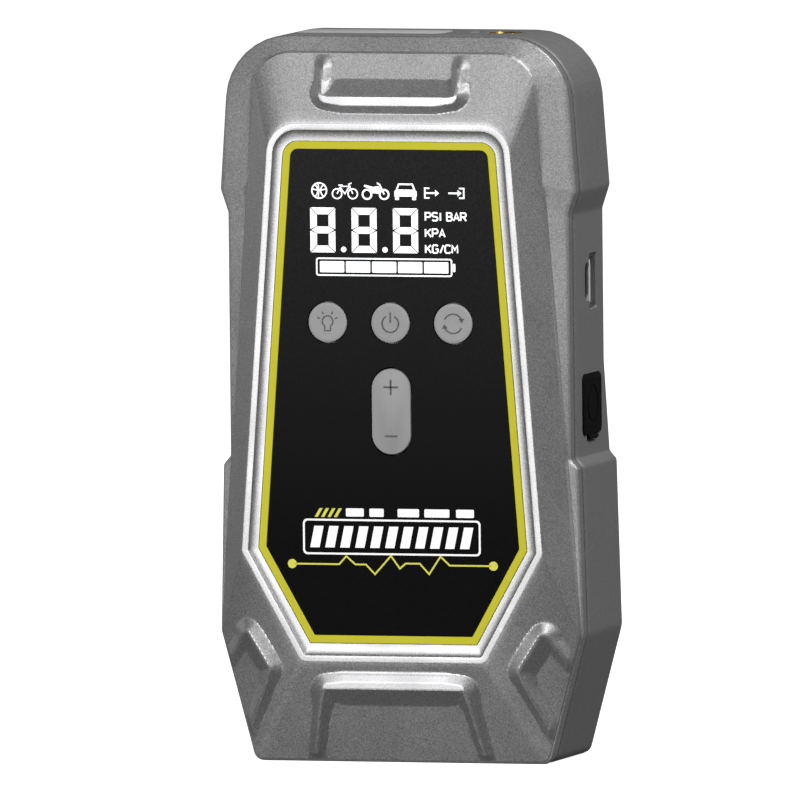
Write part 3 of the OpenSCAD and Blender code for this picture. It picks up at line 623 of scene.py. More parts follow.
def pocket_rings(lip):
    """The pocket that holds the window, and the rounded hollow that leads up to the bezel's lip."""
    window = matched_ring(WINDOW_CORNERS, -0.05)
    ledge = matched_ring(WINDOW_CORNERS, 3)
    back = WINDOW_BACK_Y - FRONT_Y
    rings = [at_depth(ledge, back + 1), at_depth(ledge, back), at_depth(window, back)]
    rings.append(at_depth(window, SINK + 0.15))
    for angle in np.linspace(90, 0, 10):
        t = math.radians(angle)
        rings.append(at_depth(between(lip, window, 1 - math.cos(t)), 0.1 + SINK * math.sin(t)))
    return rings


def bezel_rings(lip, bezel):
    """The flat bezel, with softened edges."""
    section = ((0.04, 0.02), (0.1, 0), (0.4, 0), (0.7, 0), (0.88, 0), (0.96, 0.02))
    return [at_depth(between(lip, bezel, t), depth) for t, depth in section]


def facet_rings(bezel, foot, drop):
    """The facets that slope from the bezel to their foot, with the ridges on them."""
    soft = 0.35
    rings = []
    for t in np.linspace(0, 1, 96):
        ring = between(bezel, foot, t)
        fall = drop * t
        depth = (fall + np.sqrt(fall * fall + soft * soft) - soft) / 2
        run_out = np.where(ring[:, 1] > CASE_H / 2, TOP_RUN_OUT, LOW_RUN_OUT)
        fade = np.clip((t - 0.04) * RIDGE_RISE, 0, 1) * np.clip((1 - t) * run_out, LEAST_RIDGE, 1)
        rings.append(at_depth(ring, np.maximum(depth + 0.04 - all_ridges(ring) * fade, 0.02)))
    return rings


def band_rings(foot, edge, drop):
    """The step down from the facets, then the outer band."""
    gap = np.linalg.norm(edge - foot, axis=1)
    band = between(foot, edge, np.minimum(STEP_W / gap, 0.45)[:, None])
    reach = np.linalg.norm(edge - band, axis=1)
    depth = np.maximum(EDGE_DEPTH - matched_values(BAND_SLOPES) * reach, drop + 0.15)
    rings = []
    for t in (0.06, 0.2, 0.5, 0.8, 0.94):
        rings.append(at_depth(between(foot, band, t), between(drop, depth, ease(t, 0.2))))
    for t in np.linspace(0, 1, 8):
        rings.append(at_depth(between(band, edge, t), between(depth, EDGE_DEPTH, t)))
    return rings


def skirt_rings(drop):
    """The rounded outer edge, the skirt, the joint and the inside of the shell."""
    rings = []
    for angle in (20, 40, 60, 80):
        t = math.radians(angle)
        depth = between(EDGE_DEPTH, SKIRT_DEPTH, 1 - math.cos(t))
        rings.append(at_depth(matched_ring(CASE_CORNERS, EDGE_R * (1 - math.sin(t))), depth))
    section = (
        (0, SKIRT_DEPTH),
        (0.05, SKIRT_DEPTH + 0.3),
        (SKIRT_TUCK, JOINT_DEPTH - 0.15),
        (SKIRT_TUCK + 0.15, JOINT_DEPTH - 0.02),
        (SKIRT_TUCK + WALL, JOINT_DEPTH - 0.02),
        (SKIRT_TUCK + WALL, EDGE_DEPTH + WALL),
    )
    for d, depth in section:
        rings.append(at_depth(matched_ring(CASE_CORNERS, d), depth))
    rings.append(at_depth(matched_ring(FOOT_CORNERS, WALL + 0.4), drop + WALL + 0.6))
    return rings


def front_shell():
    lip = matched_ring(BEZEL_CORNERS, BEZEL_W)
    bezel = matched_ring(BEZEL_CORNERS)
    foot = matched_ring(FOOT_CORNERS)
    edge = matched_ring(CASE_CORNERS, EDGE_R)
    drop = matched_values(FOOT_DEPTHS)
    rings = pocket_rings(lip) + bezel_rings(lip, bezel) + facet_rings(bezel, foot, drop)
    rings += band_rings(foot, edge, drop) + skirt_rings(drop)
    shape = Shape()
    shape.loft(rings, loop=True)
    piece(shape, "front_shell_skin", MATS["case_metal"], ["front_shell"], angle=18)


# ---------- rear shell ----------
HOLE_REACH = 6
SLOT_PITCH = 6
SLOTS_Z = 132
SCREWS = ((37.5, 178), (42.2, 79), (40.3, 14))


def swell(z):
    """How much further out the back stands over the lower bumper."""
    return BACK_STEP * np.clip((BUMPER_TOP - z) / BUMPER_SLOPE_H, 0, 1)


def rear_ring(d, depth, share):
    ring = matched_ring(CASE_CORNERS, d, REAR_COUNTS)
    return np.column_stack([ring[:, 0], depth + share * swell(ring[:, 1]), ring[:, 1]])


def capped(shape, rings):
    """A loft whose two end rings are closed by strips from side to side, so that bent ends stay clean."""
    n = len(rings[0])
    faces = skin_faces(n, len(rings), False)
    for base in (0, (len(rings) - 1) * n):
        for i in range(n // 2):
            near, far = (n - i) % n, n - i - 1
            strip = (base + i, base + i + 1, base + far, base + near)
            faces.append(tuple(dict.fromkeys(strip)))
    shape.add(np.vstack(rings), faces)


def mouth(shape, flat, axis, centre, inner, surface, chamfer=0.35):
    """A cutter with a bevelled mouth at the surface; inner is where the hole ends inside."""
    out = 1 if surface > inner else -1
    levels = [(inner, 0), (surface - out * chamfer, 0), (surface, -chamfer)]
    levels.append((surface + out * 3, -chamfer - 0.6))
    shape.prism(flat, levels, axis, centre)


def rear_tub():
    """The plain tub: the outside from the back round to the joint, then the inside."""
    joint = FRONT_Y + JOINT_DEPTH
    wall_start = joint + 0.9
    rings = []
    for angle in np.linspace(90, 0, 10):
        t = math.radians(angle)
        rings.append(rear_ring(BACK_R * (1 - math.cos(t)), UPPER_BACK - BACK_R * (1 - math.sin(t)), 1))
    for share in (0.75, 0.5, 0.25):
        rings.append(rear_ring(0, between(wall_start, UPPER_BACK - BACK_R, share), share))
    rings += [rear_ring(0, wall_start, 0), rear_ring(0.12, joint + 0.4, 0), rear_ring(0.5, joint, 0)]
    rings += [rear_ring(WALL, joint, 0), rear_ring(WALL, joint + 10, 0.25)]
    for angle in np.linspace(0, 90, 4):
        t = math.radians(angle)
        depth = UPPER_BACK - WALL - BACK_INNER_R * (1 - math.sin(t))
        rings.append(rear_ring(WALL + BACK_INNER_R * (1 - math.cos(t)), depth, 1))
    shape = Shape()
    capped(shape, rings)
    return shape.build("rear_shell_skin")


def top_holes(holes):
    low, high = node_box("lamp_lens")
    lamp_w, lamp_d = (high - low)[:2] + 0.2
    rows = (
        ("lamp_lens", rounded_rect(lamp_w, lamp_d, 3.1), 0.3),
        ("air_outlet", circle(4.8, 64), 0.5),
        ("status_light", circle(1.3, 32), 0.25),
    )
    for node, flat, chamfer in rows:
        mouth(holes, flat, "top", node_mid(node)[:2], CASE_H - HOLE_REACH, CASE_H, chamfer)


def side_holes(holes):
    """The two USB ports, the socket, and the seats of its flap and of the flap's strap."""
    inner = SIDE_X - HOLE_REACH
    socket_y, socket_z = node_mid("jump_socket")[1:]
    cover_foot = node_box("port_cover")[0][2]
    mouth(holes, rounded_rect(6.6, 14.5, 0.5), "side", node_mid("usb_a_shell")[1:], inner, SIDE_X)
    mouth(holes, pill(3.7, 9.8), "side", node_mid("usb_c_shell")[1:], inner, SIDE_X)
    mouth(holes, rounded_rect(15.2, 12, 1), "side", (socket_y, socket_z), inner, SIDE_X - 0.7, 0.1)
    seat = [(SIDE_X - 1, 0), (SIDE_X + 3, 0)]
    holes.prism(rounded_rect(17.9, 16.7, 2), seat, "side", (socket_y, socket_z))
    holes.prism(rounded_rect(9.6, 2.4, 0.8), seat, "side", (socket_y, cover_foot + 0.7))


def back_holes(holes):
    """A row of shallow slots, and the openings over the six case screws."""
    slot_levels = [(UPPER_BACK - 4, 0), (UPPER_BACK - 0.4, 0), (UPPER_BACK, -0.4), (UPPER_BACK + 3, -0.6)]
    for i in range(-3, 4):
        holes.prism(pill(2.4, 20), slot_levels, "front", (i * SLOT_PITCH, SLOTS_Z))
    for x, z in SCREWS:
        for side in (-1, 1):
            mouth(holes, circle(3.1, 32), "front", (side * x, z), UPPER_BACK - 7, UPPER_BACK + swell(z), 0.4)


def rear_shell():
    shell = rear_tub()
    holes = Shape()
    top_holes(holes)
    side_holes(holes)
    back_holes(holes)
    cut(shell, holes.build("holes"))
    piece(shell, "rear_shell_skin", MATS["case_grey"], ["rear_shell"], angle=32)


# ---------- window ----------
KEY_HOLE_R = 5.65
ROCKER_HOLE = (11.4, 23.9)
HOLE_CHAMFER = 0.12


def accent_frame():
    wide, _ = rounded_half(WINDOW_CORNERS, 0.12)
    narrow, _ = rounded_half(WINDOW_CORNERS, ACCENT_W)
    back = WINDOW_BACK_Y - FRONT_Y
    top = SINK - 0.08
    section = ((0, back), (0, top + 0.15), (0.06, top), (0.94, top), (1, top + 0.1), (1, back))
    shape = Shape()
    shape.loft([at_depth(outline(between(wide, narrow, t)), depth) for t, depth in section], loop=True)
    piece(shape, "accent_frame_inlay", MATS["accent"], ["accent_frame"])


def display_window():
    half, _ = rounded_half(WINDOW_CORNERS, ACCENT_W + 0.04)
    shape = Shape()
    shape.prism(outline(half), [(WINDOW_Y, 0), (WINDOW_BACK_Y, 0)])
    panel = shape.build("display_window_panel")
    holes = Shape()
    rows = [(node, circle(KEY_HOLE_R, 64)) for node in ("light_button", "power_button", "mode_button")]
    for node, flat in rows + [("adjust_rocker", pill(*ROCKER_HOLE))]:
        x, _, z = node_mid(node)
        mouth(holes, flat, "front", (x, z), WINDOW_BACK_Y + 1, WINDOW_Y, HOLE_CHAMFER)
    cut(panel, holes.build("holes"))
    piece(panel, "display_window_panel", MATS["window"], ["display_window"])


class Print(Shape):
    """Flat marks lying on the window."""

    def __init__(self, front=WINDOW_Y - 0.06, back=WINDOW_Y):
        super().__init__()
        self.front, self.back = front, back

    def patch(self, flat, centre=(0, 0)):
        self.prism(np.asarray(flat, float), [(self.front, 0), (self.back, 0)], "front", centre)

    def band(self, outer, inner, centre=(0, 0)):
        rings = []
        for flat, depth in ((outer, self.back), (outer, self.front), (inner, self.front), (inner, self.back)):
            rings.append(np.array([(a + centre[0], depth, b + centre[1]) for a, b in flat]))
        self.loft(rings, loop=True)

    def ring(self, radius, width, centre=(0, 0), count=32):
        self.band(circle(radius, count), circle(radius - width, count), centre)

    def stroke(self, points, width, centre=(0, 0)):
        """A line of even width through points, mitred at its corners."""
        points = np.asarray(points, float)
        runs = [unit(b - a) for a, b in zip(points, points[1:])]
        left, right = [], []
        for i, p in enumerate(points):
            a, b = left_of(runs[max(i - 1, 0)]), left_of(runs[min(i, len(runs) - 1)])
            shift = (a + b) / max(1 + a @ b, 0.5) * width / 2
            left.append(p + shift)
            right.append(p - shift)
        self.patch(np.array(right + left[::-1]), centre)


# ---------- lit marks on the window ----------
FIGURE_W, FIGURE_H, FIGURE_STROKE, FIGURE_GAP = 7.0, 12.1, 1.85, 0.17
FIGURE_PITCH = 11.6
FIGURES_X, FIGURES_Z = -7.1, 144.1
POINT_DROP = 5.2


def figure_segments():
    """The seven mitred segments of one figure."""
    w, h, t, g = FIGURE_W / 2, FIGURE_H / 2, FIGURE_STROKE, FIGURE_GAP
    cap = [(-w + g, h), (-w + t + g, h - t), (w - t - g, h - t), (w - g, h)]
    side = [(w, h - g), (w - t, h - t - g), (w - t, t / 2 + g), (w - 0.15, g * 1.6), (w, g * 1.6)]
    bar = [
        (-w + 2 * g, 0), (-w + t, -t / 2), (w - t, -t / 2), (w - 2 * g, 0), (w - t, t / 2), (-w + t, t / 2)
    ]
    turns = [(1, 1), (-1, 1), (1, -1), (-1, -1)]
    return [cap, [(x, -z) for x, z in cap], bar] + [[(sx * x, sz * z) for x, z in side] for sx, sz in turns]


def display_figures():
    """Three figures, with a point in each of the two gaps between them."""
    marks = Print()
    for i in (-1, 0, 1):
        for flat in figure_segments():
            marks.patch(flat, (FIGURES_X + i * FIGURE_PITCH, FIGURES_Z))
    for i in (-0.5, 0.5):
        marks.patch(circle(0.75, 24), (FIGURES_X + i * FIGURE_PITCH, FIGURES_Z - POINT_DROP))
    piece(marks, "display_figures_lit", MATS["glow"], ["display_figures"])


GAUGE_X, GAUGE_Z = -1.6, 134.2
GAUGE_PITCH = 7.3


def charge_gauge():
    """Five lit bars in a battery outline."""
    marks = Print()
    marks.band(rounded_rect(38.2, 4.9, 0.7), rounded_rect(37.4, 4.1, 0.4), (GAUGE_X, GAUGE_Z))
    marks.patch(rounded_rect(0.7, 2.2, 0.2), (GAUGE_X + 19.6, GAUGE_Z))
    for i in range(-2, 3):
        marks.patch(rounded_rect(6.8, 3.0, 0.2), (GAUGE_X + i * GAUGE_PITCH, GAUGE_Z))
    piece(marks, "charge_gauge_lit", MATS["glow"], ["charge_gauge"])


# each stroke of a letter, in a box one high and one wide
GLYPHS = {
    "A": [[(0, 0), (0.5, 1), (1, 0)], [(0.22, 0.32), (0.78, 0.32)]],
    "B": [
        [(0, 0), (0, 1), (0.7, 1), (0.9, 0.86), (0.9, 0.64), (0.7, 0.52), (0.1, 0.52)],
        [(0.6, 0.52), (0.95, 0.38), (0.95, 0.14), (0.7, 0), (0, 0)],
    ],
    "C": [[(0.95, 0.85), (0.75, 1), (0.2, 1), (0, 0.82), (0, 0.18), (0.2, 0), (0.75, 0), (0.95, 0.15)]],
    "G": [
        [(0.95, 0.85), (0.75, 1), (0.2, 1), (0, 0.82), (0, 0.18), (0.2, 0), (0.75, 0), (0.95, 0.18),
         (0.95, 0.48), (0.55, 0.48)],
    ],
    "I": [[(0.2, 0), (0.2, 1)]],
    "K": [[(0, 0), (0, 1)], [(0.95, 1), (0.1, 0.42)], [(0.35, 0.6), (1, 0)]],
    "M": [[(0, 0), (0, 1), (0.5, 0.4), (1, 1), (1, 0)]],
    "P": [[(0, 0), (0, 1), (0.75, 1), (0.95, 0.85), (0.95, 0.6), (0.75, 0.45), (0.1, 0.45)]],
    "R": [
        [(0, 0), (0, 1), (0.75, 1), (0.95, 0.85), (0.95, 0.62), (0.75, 0.48), (0.1, 0.48)],
        [(0.5, 0.48), (1, 0)],
    ],
    "S": [
        [(0.95, 0.88), (0.75, 1), (0.2, 1), (0.02, 0.86), (0.02, 0.64), (0.2, 0.52), (0.75, 0.48),
         (0.95, 0.36), (0.95, 0.14), (0.75, 0), (0.2, 0), (0, 0.12)],
    ],
    "/": [[(0.1, 0), (0.7, 1)]],
}
GLYPH_STEP = {"I": 0.62, "/": 0.8}
LETTER_W, LETTER_H, LETTER_STROKE, LETTER_PITCH = 1.512, 2.1, 0.42, 1.95
UNITS = (("PSI", 10.1, 146.9), ("BAR", 16.1, 146.9), ("KPA", 10.1, 142.5), ("KG/CM", 10.1, 138.2))


def write_units(marks, word, x, z):
    """A generic unit of measure, drawn from strokes."""
    for letter in word:
        for line in GLYPHS[letter]:
            marks.stroke(np.array(line) * (LETTER_W, LETTER_H), LETTER_STROKE, (x, z))
        x += LETTER_PITCH * GLYPH_STEP.get(letter, 1)


def ball_icon(marks, x, z):
    marks.ring(2.25, 0.38, (x, z))
    marks.stroke([(-2, 0.4), (0, 0.1), (2, 0.4)], 0.32, (x, z))
    marks.stroke([(-0.3, -2), (-0.1, 0), (-0.3, 2)], 0.32, (x, z))
    for side, start, end in ((-1, 60, -60), (1, 120, 240)):
        marks.stroke(arc_points(1.9, start, end, 10, (side * 2.3, 0)), 0.32, (x, z))


def bicycle_icon(marks, x, z):
    for side in (-1, 1):
        marks.ring(1.5, 0.36, (x + side * 2.2, z - 0.7), 28)
    marks.stroke([(-2.2, -0.7), (-1.1, 1.3), (1.3, 1.3), (0, -0.7), (-1.3, 1)], 0.32, (x, z))
    marks.stroke([(2.2, -0.7), (1.1, 1.9), (1.9, 2.2)], 0.32, (x, z))
    marks.stroke([(-1.8, 1.6), (-0.6, 1.6)], 0.36, (x, z))


def motorcycle_icon(marks, x, z):
    for side in (-1, 1):
        marks.ring(1.5, 0.5, (x + side * 2.4, z - 0.8), 28)
    body = [
        (-1.5, -0.4), (0.9, -0.6), (1.4, 0.7), (0.7, 1.5), (-0.6, 1.2), (-3.1, 1.8), (-3.3, 1.3), (-1.4, 0.6)
    ]
    marks.patch(body, (x, z))
    marks.stroke([(2.4, -0.8), (1.2, 1.8), (0.4, 2.3)], 0.4, (x, z))


def car_icon(marks, x, z):
    marks.patch([(-3.1, -0.9), (3.1, -0.9), (3.1, 0.5), (2.6, 1), (-2.6, 1), (-3.1, 0.5)], (x, z))
    marks.stroke([(-2.5, 0.9), (-1.9, 2.4), (1.9, 2.4), (2.5, 0.9)], 0.45, (x, z))
    for side in (-1, 1):
        marks.patch(rounded_rect(1.1, 0.9, 0.1), (x + side * 2.4, z - 1.4))


def flow_icon(marks, x, z, inward):
    """A small arrow into or out of a box."""
    side = 1 if inward else -1
    marks.stroke([(side, 1.3), (side * 2.3, 1.3), (side * 2.3, -1.3), (side, -1.3)], 0.4, (x, z))
    marks.stroke([(-2, 0), (0.9, 0)], 0.45, (x, z))
    marks.patch([(0.6, -0.9), (1.7, 0), (0.6, 0.9)], (x, z))


def display_marks():
    marks = Print()
    ball_icon(marks, -19.6, 154.7)
    bicycle_icon(marks, -12.4, 154.6)
    motorcycle_icon(marks, -3.8, 154.6)
    car_icon(marks, 4.6, 154.2)
    flow_icon(marks, 12.3, 154.3, inward=False)
    flow_icon(marks, 18.6, 154.3, inward=True)
    for word, x, z in UNITS:
        write_units(marks, word, x, z)
    piece(marks, "display_marks_lit", MATS["glow"], ["display_marks"])


# ---------- printed marks on the window ----------
TRIM_Z = 54.0
TRIM_DOT_X = 28.2
STRIPES_X, STRIPES_Z, STRIPE_PITCH = -20.6, 67.9, 1.8
BADGE_X, BADGE_Z = -0.2, 61.4
BADGE_PITCH = 4.2
DASHES_Z = 68.0


def window_trim():
    """Plain yellow trim: a stepped line between two dots, and a few slanted stripes, printed, with a painted
    glow.
    """
    trim = Print()
    steps = [
        (-27.6, 0), (-15, 0), (-13, 2.2), (-10.5, 0), (-7.5, 0), (-5, -2.6), (-0.5, 2.4), (2, -1), (3.6, 0.4),
        (7.6, 0.4), (10.2, -2.4), (13.4, 2.4), (16, 0), (27.6, 0)
    ]
    trim.stroke(steps, 0.45, (0, TRIM_Z))
    for side in (-1, 1):
        trim.patch(circle(1.25, 28), (side * TRIM_DOT_X, TRIM_Z))
    stripe = [(-1.2, -1.2), (-0.3, -1.2), (1.1, 1.2), (0.2, 1.2)]
    for i in range(4):
        trim.patch(stripe, (STRIPES_X + i * STRIPE_PITCH, STRIPES_Z))
    piece(trim, "window_trim_print", MATS["print_yellow"], ["window_trim"])


def window_badge():
    """Plain white badge: a boxed row of slanted bars under a row of dashes, printed, with a painted glow."""
    badge = Print()
    badge.band(rounded_rect(49.8, 9.6, 1.2), rounded_rect(48.8, 8.6, 0.9), (BADGE_X, BADGE_Z))
    bar = [(-1.9, -2.9), (0.7, -2.9), (1.9, 2.9), (-0.7, 2.9)]
    for i in range(-5, 6):
        badge.patch(bar, (BADGE_X + i * BADGE_PITCH, BADGE_Z))
    for x, w in ((-10.5, 5), (-4.4, 4), (4.5, 6), (12.5, 7), (20.4, 5)):
        badge.patch(rounded_rect(w, 2.2, 0.3), (x, DASHES_Z))
    piece(badge, "window_badge_print", MATS["print_white"], ["window_badge"])


# ---------- keys ----------
KEY_FACE = WINDOW_Y - 0.2
KEY_R = 5.4
FLANGE_R = 6.4
STEM_R = 1.8
ROCKER_FACE = KEY_FACE - 0.15
ROCKER_STEM_Z = 7.4
ROCKER_SIGN_Z = 6.6


def key_marks(draw, name, body, x, z):
    marks = Print(KEY_FACE - 0.06, KEY_FACE + 0.3)
    draw(marks, x, z)
    piece(marks, name, MATS["key_mark"], body=body)


def bulb_sign(marks, x, z):
    glass = (x, z + 0.3)
    marks.stroke(arc_points(1.5, -55, 235, 18), 0.3, glass)
    marks.stroke([(-0.8, -1.0), (-0.8, -2.2), (0.8, -2.2), (0.8, -1.0)], 0.3, (x, z))
    for angle in (20, 60, 120, 160):
        marks.stroke([polar(2.2, angle), polar(3.0, angle)], 0.3, glass)


def power_sign(marks, x, z):
    marks.stroke(arc_points(2.3, 120, 420, 26), 0.35, (x, z - 0.2))
    marks.stroke([(0, 0.1), (0, 2.9)], 0.35, (x, z))


def cycle_sign(marks, x, z):
    head = np.array([(-0.8, 0.1), (0.1, -0.9), (0.8, 0.3)])
    for start, side in ((25, 1), (205, -1)):
        marks.stroke(arc_points(2.6, start, start + 130, 16), 0.35, (x, z))
        marks.patch(polar(2.6, start) + head * side, (x, z))


def round_key(node, body, draw):
    x, _, z = node_mid(node)
    back = node_box(node)[1][1]
    flange = WINDOW_BACK_Y + 0.1
    flange_back = flange + 0.8
    face = [(0, KEY_FACE + 0.12), (2.5, KEY_FACE + 0.09), (4.4, KEY_FACE), (5.0, KEY_FACE)]
    edge = [(5.3, KEY_FACE + 0.12), (KEY_R, KEY_FACE + 0.45), (KEY_R, flange)]
    rest = [(FLANGE_R, flange), (FLANGE_R, flange_back), (STEM_R, flange_back), (STEM_R, back), (0, back)]
    shape = Shape()
    shape.lathe(face + edge + rest, "front", (x, z), 72)
    piece(shape, node + "_cap", MATS["key"], [node], body)
    key_marks(draw, node + "_sign", body, x, z)


def rocker():
    x, _, z = node_mid("adjust_rocker")
    low, high = node_box("adjust_rocker")
    back = WINDOW_BACK_Y + 0.6
    levels = [(ROCKER_FACE, 0.55), (ROCKER_FACE + 0.12, 0.2), (ROCKER_FACE + 0.5, 0), (back, 0)]
    shape = Shape()
    shape.prism(pill(high[0] - low[0], high[2] - low[2]), levels, "front", (x, z))
    for side in (-1, 1):
        stem = [(0, back), (STEM_R, back), (STEM_R, high[1]), (0, high[1])]
        shape.lathe(stem, "front", (x, z + side * ROCKER_STEM_Z), 32)
    piece(shape, "adjust_rocker_cap", MATS["key"], ["adjust_rocker"], "rocker_key")
    marks = Print(ROCKER_FACE - 0.08, ROCKER_FACE + 0.2)
    for w, h, side in ((4.2, 0.5, 1), (0.5, 4.2, 1), (3.6, 0.5, -1)):
        marks.patch(rounded_rect(w, h, 0.1), (x, z + side * ROCKER_SIGN_Z))
    piece(marks, "adjust_rocker_sign", MATS["key_mark"], body="rocker_key")


# ---------- top face ----------
OUTLET_R = 4.7
BORE_R = 3.0
BORE_DEPTH = 7
THREAD_DEPTH = 0.35
THREAD_PITCH = 0.85
THREAD_TURNS = 7


def lamp_lens():
    low, high = node_box("lamp_lens")
    flat = rounded_rect(high[0] - low[0], high[1] - low[1], 3)
    levels = [(low[2], 0), (high[2] - 0.3, 0), (high[2] - 0.08, 0.12), (high[2], 0.4)]
    shape = Shape()
    shape.prism(flat, levels, "top", node_mid("lamp_lens")[:2])
    piece(shape, "lamp_lens_cover", MATS["lens"], ["lamp_lens"])


def air_outlet():
    """Brass fitting: threaded bore, flange behind the wall and a narrow spigot for the hose."""
    low, high = node_box("air_outlet")
    top = high[2]
    start = (BORE_R, top - BORE_DEPTH)
    thread = []
    for turn in range(THREAD_TURNS):
        root = top - 6.6 + turn * THREAD_PITCH
        thread += [(BORE_R, root), (BORE_R + THREAD_DEPTH, root + 0.4)]
    nose = [(BORE_R, top - 0.6), (3.5, top - 0.05), (4.3, top), (OUTLET_R, top - 0.35), (OUTLET_R, top - 8)]
    flange = [(5.8, top - 8), (5.8, top - 9.5), (1.9, top - 9.5)]
    spigot = [(1.9, low[2]), (1.0, low[2]), (1.0, top - BORE_DEPTH)]
    shape = Shape()
    shape.lathe([start] + thread + nose + flange + spigot + [start], "top", node_mid("air_outlet")[:2])
    piece(shape, "air_outlet_fitting", MATS["brass"], ["air_outlet"])


# ---------- side ----------
FLAP_FACE = SIDE_X + 0.45


def side_size(node):
    """Size of a node seen from the side: along y, then z."""
    low, high = node_box(node)
    return (high - low)[1:]


def port_frame(node, name, flat, wall):
    """The thin metal frame that lines a port."""
    low, high = node_box(node)
    near = low[0] + 1
    levels = [(near, 0), (high[0], 0), (high[0], wall), (near, wall)]
    shape = Shape()
    shape.prism(flat, levels, "side", node_mid(node)[1:], loop=True)
    piece(shape, name, MATS["steel"], [node])


def usb_a():
    port_frame("usb_a_shell", "usb_a_frame", rounded_rect(*side_size("usb_a_shell"), 0.5), 0.4)
    low, high = node_box("usb_a_tongue")
    _, y, z = node_mid("usb_a_tongue")
    tip = SIDE_X - 0.45
    levels = [(low[0], 0), (tip - 0.3, 0), (tip, 0.25)]
    tongue = Shape()
    tongue.prism(rounded_rect(1.9, 11.6, 0.3), levels, "side", (y - 0.5, z))
    piece(tongue, "usb_a_insert", MATS["white_plastic"], ["usb_a_tongue"])
    strips = Shape()
    strip = rounded_rect(0.12, 1.1, 0.03)
    for dz in (-3.5, -1.1, 1.1, 3.5):
        strips.prism(strip, [(low[0], 0), (high[0] - 1, 0)], "side", (high[1] + 0.03, z + dz))
    piece(strips, "usb_a_strips", MATS["brass"])


def usb_c():
    port_frame("usb_c_shell", "usb_c_frame", pill(*side_size("usb_c_shell")), 0.35)


def flap(low, y, z):
    """The flap itself, with a round and a square groove in its face."""
    levels = [(low[0], 0), (FLAP_FACE - 0.3, 0), (FLAP_FACE - 0.08, 0.1), (FLAP_FACE, 0.35)]
    shape = Shape()
    shape.prism(rounded_rect(17.4, 16.1, 1.8), levels, "side", (y, z))
    plate = shape.build("port_cover_flap")
    grooves = Shape()
    clear = FLAP_FACE + 1
    for flat, depth, width in ((circle(5.1, 64), 0.2, 0.7), (rounded_rect(14.4, 13.1, 1), 0.12, 0.35)):
        bed = FLAP_FACE - depth
        grooves.prism(flat, [(bed, 0), (clear, 0), (clear, width), (bed, width)], "side", (y, z), loop=True)
    cut(plate, grooves.build("groove"))
    piece(plate, "port_cover_flap", MATS["rubber"], ["port_cover"], "cover")


def strap(low, y):
    """The strap at the flap's foot, and the round pin that it turns about."""
    pin_x, pin_z, pin_end = SIDE_X + 0.2, low[2] + 0.65, 4
    pin_levels = [(y - pin_end, 0.15), (y - pin_end + 0.15, 0), (y + pin_end - 0.15, 0), (y + pin_end, 0.15)]
    shape = Shape()
    shape.prism(circle(0.65, 20, (pin_x, pin_z)), pin_levels, "front")
    shape.prism(rounded_rect(8, 1.7, 0.2), [(SIDE_X - 0.4, 0), (SIDE_X + 0.35, 0)], "side", (y, pin_z + 0.7))
    piece(shape, "port_cover_strap", MATS["rubber"], body="cover")


def port_cover():
    low = node_box("port_cover")[0]
    _, y, z = node_mid("jump_socket")
    flap(low, y, z)
    strap(low, y)


# ---------- camera, light, floor ----------
YAW, PITCH, ROLL = math.radians(16.56), math.radians(4.15), math.radians(0.562)
DISTANCE = 9233.0
VIEW_W = 215.0538
SENSOR_W = 36
FLOOR_R, FLOOR_THICKNESS, DOME_R = 40000, 20, 60000
# name, azimuth and elevation in degrees, distance, width and height in metres, power in watts
SOFTBOXES = (
    ("key", -13, 6.5, 2.2, 0.6, 0.5, 21.5),
    ("left_fill", -95, 15, 2.2, 0.8, 1.4, 2.2),
    ("right_fill", 112, 5, 2.2, 0.6, 1.4, 2),
    ("ledge_fill", 40, 40, 2.0, 0.5, 0.4, 8),
    ("top_right", 92, 55, 2.0, 0.8, 0.8, 22),
)


def camera():
    """A long lens, to the right of the display and a little above."""
    right = Vector((math.cos(YAW), math.sin(YAW), 0))
    up = Vector((-math.sin(YAW) * math.sin(PITCH), math.cos(YAW) * math.sin(PITCH), math.cos(PITCH)))
    away = Vector((-math.sin(YAW) * math.cos(PITCH), math.cos(YAW) * math.cos(PITCH), -math.sin(PITCH)))
    turned_right = right * math.cos(ROLL) - up * math.sin(ROLL)
    turned_up = right * math.sin(ROLL) + up * math.cos(ROLL)
    aim = Vector((0, FRONT_Y, 80.1)) + turned_right * 2.42 + turned_up * 18.36
    data = bpy.data.cameras.new("camera")
    data.sensor_width = SENSOR_W
    data.lens = SENSOR_W * DISTANCE / VIEW_W
    data.clip_start = 0.1
    data.clip_end = 400
    obj = put_in_scene("camera", data)
    where = (aim - away * DISTANCE) * MM
    turn = Matrix((turned_right, turned_up, -away)).transposed().to_4x4()
    obj.matrix_world = Matrix.Translation(where) @ turn
    bpy.context.scene.camera = obj


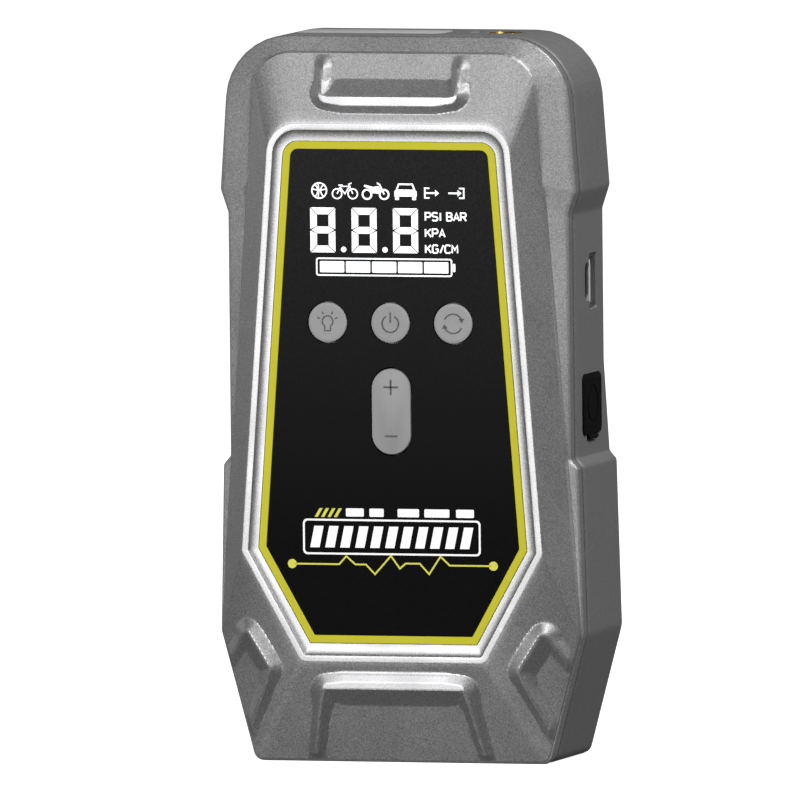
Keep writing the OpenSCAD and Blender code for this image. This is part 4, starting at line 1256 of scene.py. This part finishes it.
def softbox(name, azimuth, elevation, distance, width, height, power):
    """Area light aimed at the middle of the pack; azimuth 0 is in front, positive towards +X."""
    data = bpy.data.lights.new(name, "AREA")
    data.shape = "RECTANGLE"
    data.size, data.size_y = width, height
    data.energy = power
    obj = put_in_scene(name, data)
    a, e = math.radians(azimuth), math.radians(elevation)
    toward = Vector((math.sin(a) * math.cos(e), -math.cos(a) * math.cos(e), math.sin(e)))
    obj.location = Vector((0, 0, 0.1)) + toward * distance
    obj.rotation_euler = toward.to_track_quat("Z", "Y").to_euler()
    obj.visible_camera = False


def glow_material(name, strength):
    m = Nodes(name, 0.9, Specular_IOR_Level=0, Emission_Color=(1, 1, 1, 1), Emission_Strength=strength)
    cloud = m.noise(0.8, 2)
    m.colour(m.mix(m.span(cloud, 0, 1), (0.82, 0.82, 0.82), (0.86, 0.86, 0.86)))
    return m.material


def backdrop():
    """Pale floor inside a pale dome. Neither shows in reflections: only the lights shape the metal."""
    shape = Shape()
    shape.prism(circle(FLOOR_R, 96), [(-FLOOR_THICKNESS, 0), (0, 0)], "top")
    floor = shape.build("floor")
    floor.data.materials.append(glow_material("floor_paper", 1.0))
    shape = Shape()
    bend = [(DOME_R * math.sin(t), DOME_R * math.cos(t)) for t in np.linspace(0.1, 3.04, 24)]
    shape.lathe([(0, DOME_R)] + bend + [(0, -DOME_R)], "top", (0, 0), 48)
    dome = shape.build("dome")
    dome.data.materials.append(glow_material("dome_paper", 1.2))
    for obj in (floor, dome):
        obj.visible_diffuse = False
        obj.visible_glossy = False
        obj.visible_transmission = False
        obj.visible_shadow = False


def studio():
    backdrop()
    world = bpy.data.worlds.new("fill")
    bpy.context.scene.world = world
    world.use_nodes = True
    background = world.node_tree.nodes["Background"]
    background.inputs["Color"].default_value = (1, 1, 1, 1)
    background.inputs["Strength"].default_value = 0.10
    bpy.context.scene.view_settings.view_transform = "Standard"
    for row in SOFTBOXES:
        softbox(*row)


# ---------- the scene ----------
dress_cad_nodes()
front_shell()
rear_shell()
accent_frame()
display_window()
display_figures()
charge_gauge()
display_marks()
window_trim()
window_badge()
round_key("light_button", "light_key", bulb_sign)
round_key("power_button", "power_key", power_sign)
round_key("mode_button", "mode_key", cycle_sign)
rocker()
lamp_lens()
air_outlet()
usb_a()
usb_c()
port_cover()
camera()
studio()
